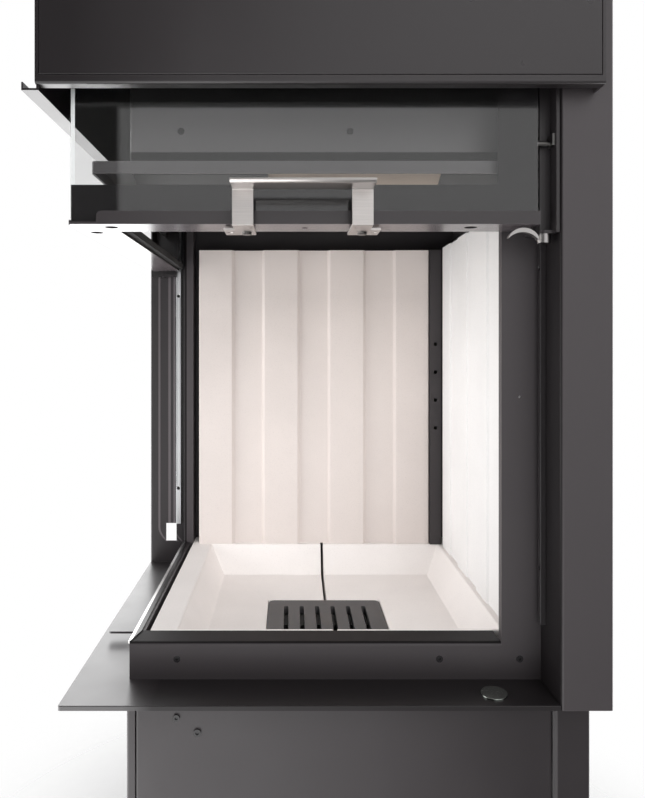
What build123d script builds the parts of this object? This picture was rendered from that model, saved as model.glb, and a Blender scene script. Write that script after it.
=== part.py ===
from build123d import *
import os

os.makedirs("parts", exist_ok=True)

# Corner fireplace insert with a two-sided glass door that lifts into a hood.
# Axes: x to the right, y to the back, z up, millimetres; the floor is z = 0.

# ---------------------------------------------------------------- firebox --
BOX_LEFT = -205.0           # outer face of the firebox, open left side
BOX_FRONT = -197.5          # outer face of the firebox, open front side
FRONT_OPENING = 402.0       # clear width of the front opening
SIDE_OPENING = 405.5        # clear depth of the left opening
JAMB_WIDTH = 42.5           # front jamb seen between the opening and the right post
REAR_JAMB_DEPTH = 31.0      # rear jamb seen between the side opening and the left post
WALL_MARGIN = 2.0           # firebox wall behind the right post's inner face
BACK_MARGIN = 5.0           # firebox back behind the left post's near face
WALL = 3.0                  # firebox plate
CHAMBER_TOP = 1100.0        # upper edge of the firebox walls

# ----------------------------------------------------------------- flange --
FLANGE_TOP = 380.0          # height of the hearth flange above the floor
FLANGE_PLATE = 5.0
OVERHANG = 59.5             # reach of the flange outside the firebox
FRONT_TUCK = 29.5           # reach of the flange inside the front opening
SIDE_TUCK = 13.0            # reach of the flange inside the side opening

# ------------------------------------------------------ posts and housing --
POST_WIDTH = 53.0
POST_SHEET = 2.5
POST_GAP = 19.2             # between the door's end and the post
SHEET = 2.0                 # covers of the base and the hood
BEND = 3.0                  # outer radius of the folds
HOOD_REACH = 26.0           # hood in front of the flange's edge
HOOD_SIDE_REACH = 13.5      # hood beyond the flange's left edge
HOOD_BOTTOM = 993.5
HOOD_TOP = 1500.0
HOOD_HEADROOM = 12.0        # raised door under the hood's top
REAR_REACH = 6.0            # rear cover behind the left post

# ------------------------------------------------------------------- door --
DOOR_HEIGHT = 625.0
DOOR_CLEARANCE = 20.0       # lowered door above the flange
DOOR_SET_BACK = 6.5         # door's front face behind the flange's front edge
SIDE_SET_BACK = 10.2        # door's left face inside the flange's left edge
GLASS = 4.0
FRAME_SHEET = 2.5
FRAME_LIP = 2.0
SEAL_GAP = 3.5              # frame of the door in front of the firebox

# ------------------------------------------------------ derived positions --
FLANGE_BOTTOM = FLANGE_TOP - FLANGE_PLATE
FLANGE_FRONT = BOX_FRONT - OVERHANG
FLANGE_LEFT = BOX_LEFT - OVERHANG
TUB_FRONT = BOX_FRONT + FRONT_TUCK
TUB_LEFT = BOX_LEFT + SIDE_TUCK
JAMB_LEFT = BOX_LEFT + FRONT_OPENING
REAR_JAMB_FRONT = BOX_FRONT + SIDE_OPENING
POST_X = JAMB_LEFT + JAMB_WIDTH
POST_Y = REAR_JAMB_FRONT + REAR_JAMB_DEPTH
WALL_X = POST_X + WALL_MARGIN
WALL_Y = POST_Y + BACK_MARGIN
HOUSING_RIGHT = POST_X + POST_WIDTH
POST_REAR = POST_Y + POST_WIDTH
HOUSING_REAR = POST_REAR + REAR_REACH
HOOD_FRONT = FLANGE_FRONT - HOOD_REACH
HOOD_LEFT = FLANGE_LEFT - HOOD_SIDE_REACH
DOOR_RIGHT = POST_X - POST_GAP
DOOR_REAR = POST_Y - POST_GAP
DOOR_FRONT = FLANGE_FRONT + DOOR_SET_BACK
DOOR_LEFT = FLANGE_LEFT + SIDE_SET_BACK
HOOD_INSIDE_TOP = HOOD_TOP - SHEET
DOOR_TOP = HOOD_TOP - HOOD_HEADROOM
DOOR_BOTTOM = DOOR_TOP - DOOR_HEIGHT
DOOR_TRAVEL = DOOR_BOTTOM - DOOR_CLEARANCE - FLANGE_TOP
TRAY_TOP = DOOR_BOTTOM + FRAME_SHEET
GLASS_FRONT = DOOR_FRONT + FRAME_LIP
GLASS_BACK = GLASS_FRONT + GLASS
SIDE_GLASS_INNER = DOOR_LEFT + GLASS

FIT = 0.3                   # play between pieces that are laid or slid together
CLEAR = 0.5                 # clearance beside pieces that are fitted or cut apart
PLAY = 0.1                  # play around screws

# Directions for planes.
RIGHT = (1, 0, 0)
BACK = (0, 1, 0)
FRONT = (0, -1, 0)
UP = (0, 0, 1)
DOWN = (0, 0, -1)


# ---------------------------------------------------------------- helpers --
def slab(x, y, z, mode=Mode.ADD):
    """Box between two values along each axis."""
    with BuildSketch(Plane.XY.offset(z[0])) as outline:
        with Locations(((x[0] + x[1]) / 2, (y[0] + y[1]) / 2)):
            Rectangle(x[1] - x[0], y[1] - y[0])
    extrude(outline.sketch, amount=z[1] - z[0], mode=mode)


def prism(points, z, mode=Mode.ADD):
    """Upright prism over a polygon in plan."""
    with BuildSketch(Plane.XY.offset(z[0])) as outline:
        with BuildLine():
            Polyline(*points, close=True)
        make_face()
    extrude(outline.sketch, amount=z[1] - z[0], mode=mode)


def folded_sheet(plane, bends, sheet, length, radius=BEND):
    """Sheet folded along the bends, its thickness to the left of their path."""
    with BuildSketch(plane) as section:
        with BuildLine():
            FilletPolyline(*bends, radius=radius)
            offset(amount=sheet, side=Side.LEFT)
        make_face()
    extrude(section.sketch, amount=length)


def round_bar(spot, direction, radius, length, mode=Mode.ADD):
    """Round bar, or round hole, from a spot along a direction."""
    with BuildSketch(Plane(spot, z_dir=direction)) as outline:
        Circle(radius)
    extrude(outline.sketch, amount=length, mode=mode)


def ring(spot, direction, outer, inner, length):
    """Tube or washer from a spot along a direction."""
    with BuildSketch(Plane(spot, z_dir=direction)) as outline:
        Circle(outer)
        Circle(inner, mode=Mode.SUBTRACT)
    extrude(outline.sketch, amount=length)


def end_slab(end, u, v, z, mode=Mode.ADD):
    """Slab at one end of the door: u inward from the flange's edge, v outward
    from the door's end, so that both ends are built alike about the corner."""
    if end == "right":
        slab(
            (DOOR_RIGHT + v[0], DOOR_RIGHT + v[1]),
            (FLANGE_FRONT + u[0], FLANGE_FRONT + u[1]),
            z,
            mode,
        )
    else:
        slab(
            (FLANGE_LEFT + u[0], FLANGE_LEFT + u[1]),
            (DOOR_REAR + v[0], DOOR_REAR + v[1]),
            z,
            mode,
        )


def end_bar(end, u, v, z, radius, length, mode=Mode.ADD):
    """Round bar at one end of the door, along the outward direction v."""
    if end == "right":
        round_bar((DOOR_RIGHT + v, FLANGE_FRONT + u, z), RIGHT, radius, length, mode)
    else:
        round_bar((FLANGE_LEFT + u, DOOR_REAR + v, z), BACK, radius, length, mode)


def countersink(spot, direction, radius, depth, hole, mode=Mode.SUBTRACT):
    """Conical seat that narrows along the direction, with its through hole."""
    into = Plane(spot, z_dir=direction)
    with BuildSketch(into) as mouth:
        Circle(radius)
    with BuildSketch(into.offset(depth)) as neck:
        Circle(hole)
    loft(sections=[mouth.sketch, neck.sketch], mode=mode)
    round_bar(spot, direction, hole, WALL, mode)


def countersunk_screw(spot, direction, radius, depth, shank, length):
    """Countersunk screw with a hexagon socket, head flush with the spot."""
    into = Plane(spot, z_dir=direction)
    with BuildSketch(into) as mouth:
        Circle(radius)
    with BuildSketch(into.offset(depth)) as neck:
        Circle(shank)
    loft(sections=[mouth.sketch, neck.sketch])
    round_bar(spot, direction, shank, length)
    with BuildSketch(into) as socket:
        RegularPolygon(radius * 0.45, 6)
    extrude(socket.sketch, amount=depth * 0.7, mode=Mode.SUBTRACT)


def cap_screw(spot, direction, radius, height, shank, length):
    """Button-head screw whose head stands on the spot, shank along the direction."""
    out = tuple(-value for value in direction)
    round_bar(spot, out, radius, height)
    round_bar(spot, direction, shank, length)
    with BuildSketch(Plane(spot, z_dir=out).offset(height)) as socket:
        RegularPolygon(radius * 0.5, 6)
    extrude(socket.sketch, amount=-height * 0.6, mode=Mode.SUBTRACT)


# ================================================================== stand ==
BASE_INSET = 15.5           # base cover in front of the firebox
BASE_BOTTOM = 25.0
BASE_FRONT = BOX_FRONT - BASE_INSET
BASE_LEFT = BOX_LEFT
BASE_RIGHT_INSET = 5.8
BASE_REAR_INSET = 41.0
BASE_RIGHT = HOUSING_RIGHT - BASE_RIGHT_INSET
BASE_REAR = HOUSING_REAR - BASE_REAR_INSET
LEFT_RETURN = 9.0           # front edge of the left side sheet
RIGHT_RETURN = 39.2         # front column of the right side sheet
RETURN_SLANT = 4.5          # slanted edge of that column
FOOT_FLANGE = 40.0
TOP_FLANGE = 20.0
SEAM = 0.5

FOOT_INSET = 22.0           # feet from the sides of the base
FOOT_SETBACK = 34.0         # feet from its front and back
FOOT_STUD = 6.0
STUD_REACH = 15.0
FOOT_SPOTS = [
    (x, y)
    for x in (BASE_LEFT + FOOT_INSET, BASE_RIGHT - FOOT_INSET)
    for y in (BASE_FRONT + FOOT_SETBACK, BASE_REAR - FOOT_SETBACK)
]


def foot_holes():
    """Stud holes of the levelling feet in the flange being built."""
    for x, y in FOOT_SPOTS:
        round_bar((x, y, BASE_BOTTOM), UP, FOOT_STUD + FIT, SHEET, Mode.SUBTRACT)


with BuildPart() as base_left_side:
    folded_sheet(
        Plane.XY.offset(BASE_BOTTOM),
        (
            (BASE_LEFT, BASE_REAR),
            (BASE_LEFT, BASE_FRONT),
            (BASE_LEFT + LEFT_RETURN, BASE_FRONT),
        ),
        SHEET,
        FLANGE_BOTTOM - BASE_BOTTOM,
    )
    slab(
        (BASE_LEFT + SHEET, BASE_LEFT + SHEET + FOOT_FLANGE),
        (BASE_FRONT + SHEET, BASE_REAR - SHEET),
        (BASE_BOTTOM, BASE_BOTTOM + SHEET),
    )
    slab(
        (BASE_LEFT + SHEET, TUB_LEFT),
        (BASE_FRONT + SHEET, BASE_REAR - SHEET),
        (FLANGE_BOTTOM - SHEET, FLANGE_BOTTOM),
    )
    foot_holes()
base_left_side.part.label = "base_left_side"
export_step(base_left_side.part, "parts/base_left_side.step")

with BuildPart() as base_right_side:
    folded_sheet(
        Plane.XY.offset(BASE_BOTTOM),
        (
            (BASE_RIGHT - RIGHT_RETURN, BASE_FRONT + SHEET),
            (BASE_RIGHT - RIGHT_RETURN + RETURN_SLANT, BASE_FRONT),
            (BASE_RIGHT, BASE_FRONT),
            (BASE_RIGHT, BASE_REAR),
        ),
        SHEET,
        FLANGE_BOTTOM - BASE_BOTTOM,
    )
    slab(
        (BASE_RIGHT - SHEET - FOOT_FLANGE, BASE_RIGHT - SHEET),
        (BASE_FRONT + SHEET + SHEET, BASE_REAR - SHEET),
        (BASE_BOTTOM, BASE_BOTTOM + SHEET),
    )
    slab(
        (BASE_RIGHT - SHEET - TOP_FLANGE, BASE_RIGHT - SHEET),
        (BASE_FRONT + SHEET, BASE_REAR - SHEET),
        (FLANGE_BOTTOM - SHEET, FLANGE_BOTTOM),
    )
    foot_holes()
base_right_side.part.label = "base_right_side"
export_step(base_right_side.part, "parts/base_right_side.step")

# Removable cover between the two side sheets.
COVER_RETURN = 12.0
COVER_LIFT = 5.0
COVER_X = (BASE_LEFT + LEFT_RETURN + SEAM, BASE_RIGHT - RIGHT_RETURN - 2 * SEAM)
COVER_Z = (BASE_BOTTOM + COVER_LIFT, FLANGE_BOTTOM - SHEET - SEAM)
COVER_BOLTS = [
    (BASE_LEFT + 53.1, FLANGE_BOTTOM - 28.6, 3.6),
    (BASE_LEFT + 75.3, FLANGE_BOTTOM - 44.3, 4.0),
]
BOLT_SHANK = 1.5
BOLT_HEAD = 2.2
BOLT_LENGTH = 8.0
BOLT_PLAY = 0.2

with BuildPart() as base_front_cover:
    folded_sheet(
        Plane.XY.offset(COVER_Z[0]),
        (
            (COVER_X[0], BASE_FRONT + COVER_RETURN),
            (COVER_X[0], BASE_FRONT),
            (COVER_X[1], BASE_FRONT),
            (COVER_X[1], BASE_FRONT + COVER_RETURN),
        ),
        SHEET,
        COVER_Z[1] - COVER_Z[0],
    )
    for x, z, radius in COVER_BOLTS:
        round_bar((x, BASE_FRONT, z), BACK, BOLT_SHANK + BOLT_PLAY, SHEET, Mode.SUBTRACT)
base_front_cover.part.label = "base_front_cover"
export_step(base_front_cover.part, "parts/base_front_cover.step")

# Fresh air comes in through the back of the base.
INTAKE_X = 40.0
INTAKE_Z = 200.0
INTAKE_RADIUS = 62.5
INTAKE_WALL = 1.5
INTAKE_FLANGE = 78.0
INTAKE_LENGTH = 47.0
RIVET_HOLE = 2.2

with BuildPart() as base_back:
    slab(
        (BASE_LEFT + SHEET, BASE_RIGHT - SHEET),
        (BASE_REAR - SHEET, BASE_REAR),
        (BASE_BOTTOM, FLANGE_BOTTOM),
    )
    slab(
        (TUB_LEFT, BASE_RIGHT - SHEET - TOP_FLANGE),
        (WALL_Y + WALL, BASE_REAR - SHEET),
        (FLANGE_BOTTOM - SHEET, FLANGE_BOTTOM),
    )
    slab(
        (BASE_LEFT + SHEET + FOOT_FLANGE, BASE_RIGHT - SHEET - FOOT_FLANGE),
        (BASE_REAR - SHEET - TOP_FLANGE, BASE_REAR - SHEET),
        (BASE_BOTTOM, BASE_BOTTOM + SHEET),
    )
    round_bar(
        (INTAKE_X, BASE_REAR, INTAKE_Z), FRONT, INTAKE_RADIUS - INTAKE_WALL, SHEET, Mode.SUBTRACT
    )
base_back.part.label = "base_back"
export_step(base_back.part, "parts/base_back.step")

with BuildPart() as air_intake_spigot:
    spot = (INTAKE_X, BASE_REAR, INTAKE_Z)
    inner = INTAKE_RADIUS - INTAKE_WALL
    ring(spot, BACK, INTAKE_FLANGE, inner, SHEET)
    ring(spot, BACK, INTAKE_RADIUS, inner, SHEET + INTAKE_LENGTH)
    rivet_circle = (INTAKE_FLANGE + INTAKE_RADIUS) / 2
    with BuildSketch(Plane(spot, z_dir=BACK)) as rivet_holes:
        with PolarLocations(rivet_circle, 4, start_angle=45):
            Circle(RIVET_HOLE)
    extrude(rivet_holes.sketch, amount=SHEET, mode=Mode.SUBTRACT)
air_intake_spigot.part.label = "air_intake_spigot"
export_step(air_intake_spigot.part, "parts/air_intake_spigot.step")

FOOT_RADIUS = 22.0
FOOT_DISC = 8.0
FOOT_NUT = 8.0
NUT_RADIUS = 11.0

with BuildPart() as levelling_feet:
    for x, y in FOOT_SPOTS:
        round_bar((x, y, 0), UP, FOOT_RADIUS, FOOT_DISC)
        round_bar((x, y, FOOT_DISC), UP, FOOT_STUD, BASE_BOTTOM + STUD_REACH - FOOT_DISC)
        with BuildSketch(Plane((x, y, BASE_BOTTOM - FOOT_NUT))) as nut:
            RegularPolygon(NUT_RADIUS, 6)
        extrude(nut.sketch, amount=FOOT_NUT)
    rims = levelling_feet.edges().filter_by(GeomType.CIRCLE)
    upper_rims = rims.filter_by(lambda rim: rim.radius > NUT_RADIUS and rim.center().Z > FIT)
    chamfer(upper_rims, FOOT_DISC * 0.4)
levelling_feet.part.label = "levelling_feet"
export_step(levelling_feet.part, "parts/levelling_feet.step")

# ================================================================ firebox ==
FLANGE_CORNER = 3.0
FLANGE_EDGE = 0.8

with BuildPart() as hearth_flange:
    slab((FLANGE_LEFT, POST_X), (FLANGE_FRONT, TUB_FRONT), (FLANGE_BOTTOM, FLANGE_TOP))
    slab((FLANGE_LEFT, TUB_LEFT), (TUB_FRONT, POST_REAR), (FLANGE_BOTTOM, FLANGE_TOP))
    corner = hearth_flange.edges().filter_by(Axis.Z).group_by(Axis.X)[0].sort_by(Axis.Y)[0]
    fillet(corner, FLANGE_CORNER)
    fillet(hearth_flange.faces().sort_by(Axis.Z)[-1].edges(), FLANGE_EDGE)
hearth_flange.part.label = "hearth_flange"
export_step(hearth_flange.part, "parts/hearth_flange.step")

# Grate, ash drop and bowl share one centre.
FLOOR_DROP = 45.0           # tub floor below the flange
FLOOR_TOP = FLANGE_TOP - FLOOR_DROP
GRATE_CENTRE = (17.5, -9.0)
GRATE_SIZE = (160.0, 180.0)
GRATE_PLAY = 0.5            # around the grate in its seat
GRATE_PLATE = 12.0
GRATE_LEDGE = 7.0           # width of the ledge the grate rests on
DROP_SIZE = (GRATE_SIZE[0] - 2 * GRATE_LEDGE, GRATE_SIZE[1] - 2 * GRATE_LEDGE)
PAN_LEDGE = 5.0             # floor plate seen inside the ash drop
PAN_CUTOUT = (DROP_SIZE[0] - 2 * PAN_LEDGE, DROP_SIZE[1] - 2 * PAN_LEDGE)
TUB_WALL = 2.7


def around(centre, size):
    """Limits along x and y of a rectangle about a centre."""
    return (
        (centre[0] - size[0] / 2, centre[0] + size[0] / 2),
        (centre[1] - size[1] / 2, centre[1] + size[1] / 2),
    )


with BuildPart() as firebox_floor:
    slab((TUB_LEFT, WALL_X), (TUB_FRONT, WALL_Y), (FLOOR_TOP - WALL, FLOOR_TOP))
    slab((TUB_LEFT, TUB_LEFT + TUB_WALL), (TUB_FRONT, WALL_Y), (FLOOR_TOP, FLANGE_TOP))
    slab(
        (TUB_LEFT + TUB_WALL, WALL_X), (TUB_FRONT, TUB_FRONT + TUB_WALL), (FLOOR_TOP, FLANGE_TOP)
    )
    slab(*around(GRATE_CENTRE, PAN_CUTOUT), (FLOOR_TOP - WALL, FLOOR_TOP), Mode.SUBTRACT)
firebox_floor.part.label = "firebox_floor"
export_step(firebox_floor.part, "parts/firebox_floor.step")

PAN_DEPTH = 45.0
PAN_SHEET = 1.5
PAN_PLAY = 2.0
RIM_PLAY = 1.0
PAN_SIZE = (PAN_CUTOUT[0] - 2 * PAN_PLAY, PAN_CUTOUT[1] - 2 * PAN_PLAY)
PAN_RIM = (DROP_SIZE[0] - 2 * RIM_PLAY, DROP_SIZE[1] - 2 * RIM_PLAY)
PAN_HOLLOW = (PAN_SIZE[0] - 2 * PAN_SHEET, PAN_SIZE[1] - 2 * PAN_SHEET)

with BuildPart() as ash_pan:
    slab(*around(GRATE_CENTRE, PAN_SIZE), (FLOOR_TOP - PAN_DEPTH, FLOOR_TOP))
    slab(*around(GRATE_CENTRE, PAN_RIM), (FLOOR_TOP, FLOOR_TOP + PAN_SHEET))
    slab(
        *around(GRATE_CENTRE, PAN_HOLLOW),
        (FLOOR_TOP - PAN_DEPTH + PAN_SHEET, FLOOR_TOP + PAN_SHEET),
        Mode.SUBTRACT,
    )
ash_pan.part.label = "ash_pan"
export_step(ash_pan.part, "parts/ash_pan.step")

# Fireclay hearth in two halves with a bowl that falls to the grate.
SILL_HEIGHT = 40.0
SILL_TOP = FLANGE_TOP + SILL_HEIGHT
HEARTH_SPLIT = 19.5
HEARTH_JOINT = 4.0
HEARTH_GAP = 1.8            # hearth behind the front wall of its tub
BOWL_LEFT_RIM = 30.5        # width of the rim left, front, right and back of the bowl
BOWL_FRONT_RIM = 3.5
BOWL_RIGHT_RIM = 34.2
BOWL_BACK_RIM = 44.7
BOWL_RUN = 22.0             # steep upper slope
BOWL_DROP = 43.0
BOWL_FALL = 7.0             # shallow lower slope
POCKET = (GRATE_SIZE[0] + 2 * GRATE_PLAY, GRATE_SIZE[1] + 2 * GRATE_PLAY)
GRATE_TOP = SILL_TOP - BOWL_DROP - BOWL_FALL
GRATE_BOTTOM = GRATE_TOP - GRATE_PLATE
HEARTH_X = (TUB_LEFT + TUB_WALL + FIT, WALL_X - FIT)
HEARTH_Y = (TUB_FRONT + TUB_WALL + HEARTH_GAP, WALL_Y - FIT)
BOWL_RIM_X = (HEARTH_X[0] + BOWL_LEFT_RIM, HEARTH_X[1] - BOWL_RIGHT_RIM)
BOWL_RIM_Y = (HEARTH_Y[0] + BOWL_FRONT_RIM, HEARTH_Y[1] - BOWL_BACK_RIM)


def level(x, y, z):
    """Rectangular section at a height."""
    with BuildSketch(Plane.XY.offset(z)) as outline:
        with Locations(((x[0] + x[1]) / 2, (y[0] + y[1]) / 2)):
            Rectangle(x[1] - x[0], y[1] - y[0])
    return outline.sketch


def carve_bowl():
    """Bowl, seat of the grate and ash drop, cut out of the block being built."""
    knee_x = (BOWL_RIM_X[0] + BOWL_RUN, BOWL_RIM_X[1] - BOWL_RUN)
    knee_y = (BOWL_RIM_Y[0] + BOWL_RUN, BOWL_RIM_Y[1] - BOWL_RUN)
    rim = level(BOWL_RIM_X, BOWL_RIM_Y, SILL_TOP)
    knee = level(knee_x, knee_y, SILL_TOP - BOWL_DROP)
    seat = level(*around(GRATE_CENTRE, POCKET), GRATE_TOP)
    loft(sections=[rim, knee], ruled=True, mode=Mode.SUBTRACT)
    loft(sections=[knee, seat], ruled=True, mode=Mode.SUBTRACT)
    slab(*around(GRATE_CENTRE, POCKET), (GRATE_BOTTOM, GRATE_TOP), Mode.SUBTRACT)
    slab(*around(GRATE_CENTRE, DROP_SIZE), (FLOOR_TOP, GRATE_BOTTOM), Mode.SUBTRACT)


with BuildPart() as hearth_left:
    slab((HEARTH_X[0], HEARTH_SPLIT - HEARTH_JOINT / 2), HEARTH_Y, (FLOOR_TOP, SILL_TOP))
    carve_bowl()
hearth_left.part.label = "hearth_left"
export_step(hearth_left.part, "parts/hearth_left.step")

with BuildPart() as hearth_right:
    slab((HEARTH_SPLIT + HEARTH_JOINT / 2, HEARTH_X[1]), HEARTH_Y, (FLOOR_TOP, SILL_TOP))
    carve_bowl()
hearth_right.part.label = "hearth_right"
export_step(hearth_right.part, "parts/hearth_right.step")

SLOT_COUNT = 6
SLOT_PITCH = 21.8
SLOT_LENGTH = 130.0
SLOT_WIDTH = 6.2
GRATE_CORNER = 9.0

with BuildPart() as grate:
    with BuildSketch(Plane.XY.offset(GRATE_BOTTOM)) as grate_outline:
        with Locations(GRATE_CENTRE):
            RectangleRounded(*GRATE_SIZE, GRATE_CORNER)
            with GridLocations(SLOT_PITCH, 1, SLOT_COUNT, 1):
                SlotOverall(SLOT_LENGTH, SLOT_WIDTH, rotation=90, mode=Mode.SUBTRACT)
    extrude(grate_outline.sketch, amount=GRATE_PLATE)
    fillet(grate.faces().sort_by(Axis.Z)[-1].outer_wire().edges(), 1.2)
grate.part.label = "grate"
export_step(grate.part, "parts/grate.step")

# Cream lining slabs with broad upright ribs.
LINING_TOP = SILL_TOP + 475.0
BACK_LINING = 42.5          # thickness of the back slab
SIDE_LINING = 28.5          # thickness of the right slab
RIB_RELIEF = 6.0
RIB_FLANK = 4.5
SIDE_RELIEF = 2.4
SIDE_FLANK = 1.6
RIB_ROUND = 1.5
RIB_WIDTH = 53.1
BACK_LINING_X = (TUB_LEFT + 13.0, POST_X - 46.7)
BACK_RIBS = 7               # raised and recessed bands across the back slab
LINING_BACK_Y = WALL_Y - 2 * FIT
LINING_RIGHT_X = WALL_X - 2 * FIT
BACK_FACE_Y = LINING_BACK_Y - BACK_LINING
SIDE_FACE_X = LINING_RIGHT_X - SIDE_LINING
SIDE_LINING_Y = (BOX_FRONT + 32.5, BACK_FACE_Y - 1.5)
SIDE_RIB_CENTRE = BOX_FRONT + 146.5     # middle of the second raised band
SIDE_LINING_TOP = LINING_TOP + 2.0


def recessed_band(face, flank, relief):
    """Section of a band between two ribs, given along the face and into it."""
    return ((face[0], 0.0), (face[0] + flank, relief), (face[1] - flank, relief), (face[1], 0.0))


with BuildPart() as lining_back:
    slab(BACK_LINING_X, (BACK_FACE_Y, LINING_BACK_Y), (SILL_TOP, LINING_TOP))
    middle = sum(BACK_LINING_X) / 2
    for band in range(-(BACK_RIBS // 2) + 1, BACK_RIBS // 2, 2):
        low = middle + (band - 0.5) * RIB_WIDTH
        section = recessed_band((low, low + RIB_WIDTH), RIB_FLANK, RIB_RELIEF)
        outline = [(along, BACK_FACE_Y + depth) for along, depth in section]
        prism(outline, (SILL_TOP, LINING_TOP), Mode.SUBTRACT)
    upright = lining_back.edges().filter_by(Axis.Z)
    fillet(upright.filter_by(lambda edge: edge.center().Y < BACK_FACE_Y + FIT), RIB_ROUND)
lining_back.part.label = "lining_back"
export_step(lining_back.part, "parts/lining_back.step")

with BuildPart() as lining_right:
    slab((SIDE_FACE_X, LINING_RIGHT_X), SIDE_LINING_Y, (SILL_TOP, SIDE_LINING_TOP))
    for period in (-1, 0, 1, 2):
        low = SIDE_RIB_CENTRE + (2 * period + 0.5) * RIB_WIDTH
        section = recessed_band((low, low + RIB_WIDTH), SIDE_FLANK, SIDE_RELIEF)
        outline = [(SIDE_FACE_X + depth, along) for along, depth in section]
        prism(outline, (SILL_TOP, SIDE_LINING_TOP), Mode.SUBTRACT)
    upright = lining_right.edges().filter_by(Axis.Z)
    fillet(upright.filter_by(lambda edge: edge.center().X < SIDE_FACE_X + FIT), SIDE_FLANK / 2)
lining_right.part.label = "lining_right"
export_step(lining_right.part, "parts/lining_right.step")

with BuildPart() as back_wall:
    slab((BOX_LEFT, WALL_X + WALL), (WALL_Y, WALL_Y + WALL), (FLANGE_TOP, CHAMBER_TOP))
    slab((TUB_LEFT, WALL_X + WALL), (WALL_Y, WALL_Y + WALL), (FLOOR_TOP - WALL, FLANGE_TOP))
back_wall.part.label = "back_wall"
export_step(back_wall.part, "parts/back_wall.step")

with BuildPart() as right_wall:
    slab((WALL_X, WALL_X + WALL), (BOX_FRONT + WALL, WALL_Y), (FLOOR_TOP - WALL, CHAMBER_TOP))
right_wall.part.label = "right_wall"
export_step(right_wall.part, "parts/right_wall.step")

# Front frame: folded sill and jamb in one plate.
HEADER_BOTTOM = FLANGE_TOP + 551.0
SILL_DEPTH = 33.0
JAMB_RETURN = 8.0
JAMB_RETURN_TOP = HEADER_BOTTOM - 26.0
WALL_BEND = WALL + 1.0      # outer radius of folds in the firebox plate
SCREW_HEAD = 4.0
SCREW_SHANK = 2.0
SCREW_SINK = 2.2
SILL_SCREW_Z = FLANGE_TOP + 21.8
SILL_SCREWS = [
    (x, SILL_SCREW_Z) for x in (BOX_LEFT + 51.2, JAMB_LEFT - 67.0, JAMB_LEFT + 19.7)
]
HEADER_SCREW_Z = HEADER_BOTTOM + 41.0
HEADER_SCREWS = [(x, HEADER_SCREW_Z) for x in (BOX_LEFT + 238.3, BOX_LEFT + 55.7)]
JAMB_HOLE = (JAMB_LEFT + 19.9, FLANGE_TOP + 305.0)
JAMB_HOLE_RADIUS = 1.5

with BuildPart() as front_frame:
    folded_sheet(
        Plane.YZ.offset(BOX_LEFT),
        (
            (BOX_FRONT + SILL_DEPTH, SILL_TOP),
            (BOX_FRONT, SILL_TOP),
            (BOX_FRONT, FLANGE_TOP),
        ),
        WALL,
        FRONT_OPENING,
        radius=WALL_BEND,
    )
    slab((JAMB_LEFT, WALL_X + WALL), (BOX_FRONT, BOX_FRONT + WALL), (FLANGE_TOP, HEADER_BOTTOM))
    slab(
        (JAMB_LEFT, JAMB_LEFT + FRAME_SHEET),
        (BOX_FRONT + WALL, BOX_FRONT + WALL + JAMB_RETURN),
        (FLANGE_TOP, JAMB_RETURN_TOP),
    )
    for x, z in SILL_SCREWS:
        countersink((x, BOX_FRONT, z), BACK, SCREW_HEAD, SCREW_SINK, SCREW_SHANK)
    hole_spot = (JAMB_HOLE[0], BOX_FRONT, JAMB_HOLE[1])
    round_bar(hole_spot, BACK, JAMB_HOLE_RADIUS, WALL, Mode.SUBTRACT)
front_frame.part.label = "front_frame"
export_step(front_frame.part, "parts/front_frame.step")

with BuildPart() as rear_jamb:
    inner_x = TUB_LEFT + TUB_WALL
    folded_sheet(
        Plane.XY.offset(FLANGE_TOP),
        ((BOX_LEFT, WALL_Y), (BOX_LEFT, REAR_JAMB_FRONT), (inner_x, REAR_JAMB_FRONT)),
        WALL,
        HEADER_BOTTOM - FLANGE_TOP,
        radius=WALL_BEND,
    )
    slab(
        (inner_x - FRAME_SHEET, inner_x),
        (REAR_JAMB_FRONT + WALL, WALL_Y),
        (FLANGE_TOP, HEADER_BOTTOM),
    )
rear_jamb.part.label = "rear_jamb"
export_step(rear_jamb.part, "parts/rear_jamb.step")

# Air control: a bar that slides along the left sill.
AIR_Y = BOX_FRONT + 111.5
AIR_WIDTH = 18.0
AIR_TRAVEL = (-40.0, 60.0)
AIR_Z = (FLANGE_TOP + 9.5, FLANGE_TOP + 12.0)
AIR_PLAY = 0.75
AIR_SLOT_END = 1.0
AIR_TIP_INSET = 10.5        # bar's tip inside the flange's left edge
AIR_TIP_ROUND = 5.0
AIR_BLADE = 20.0            # half length of the blade behind the slot
AIR_BLADE_Z = (FLANGE_TOP + 1.0, AIR_Z[1] + 3.0)
SIDE_SILL_WIDTH = 11.0
SILL_LIP = 8.0

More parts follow.
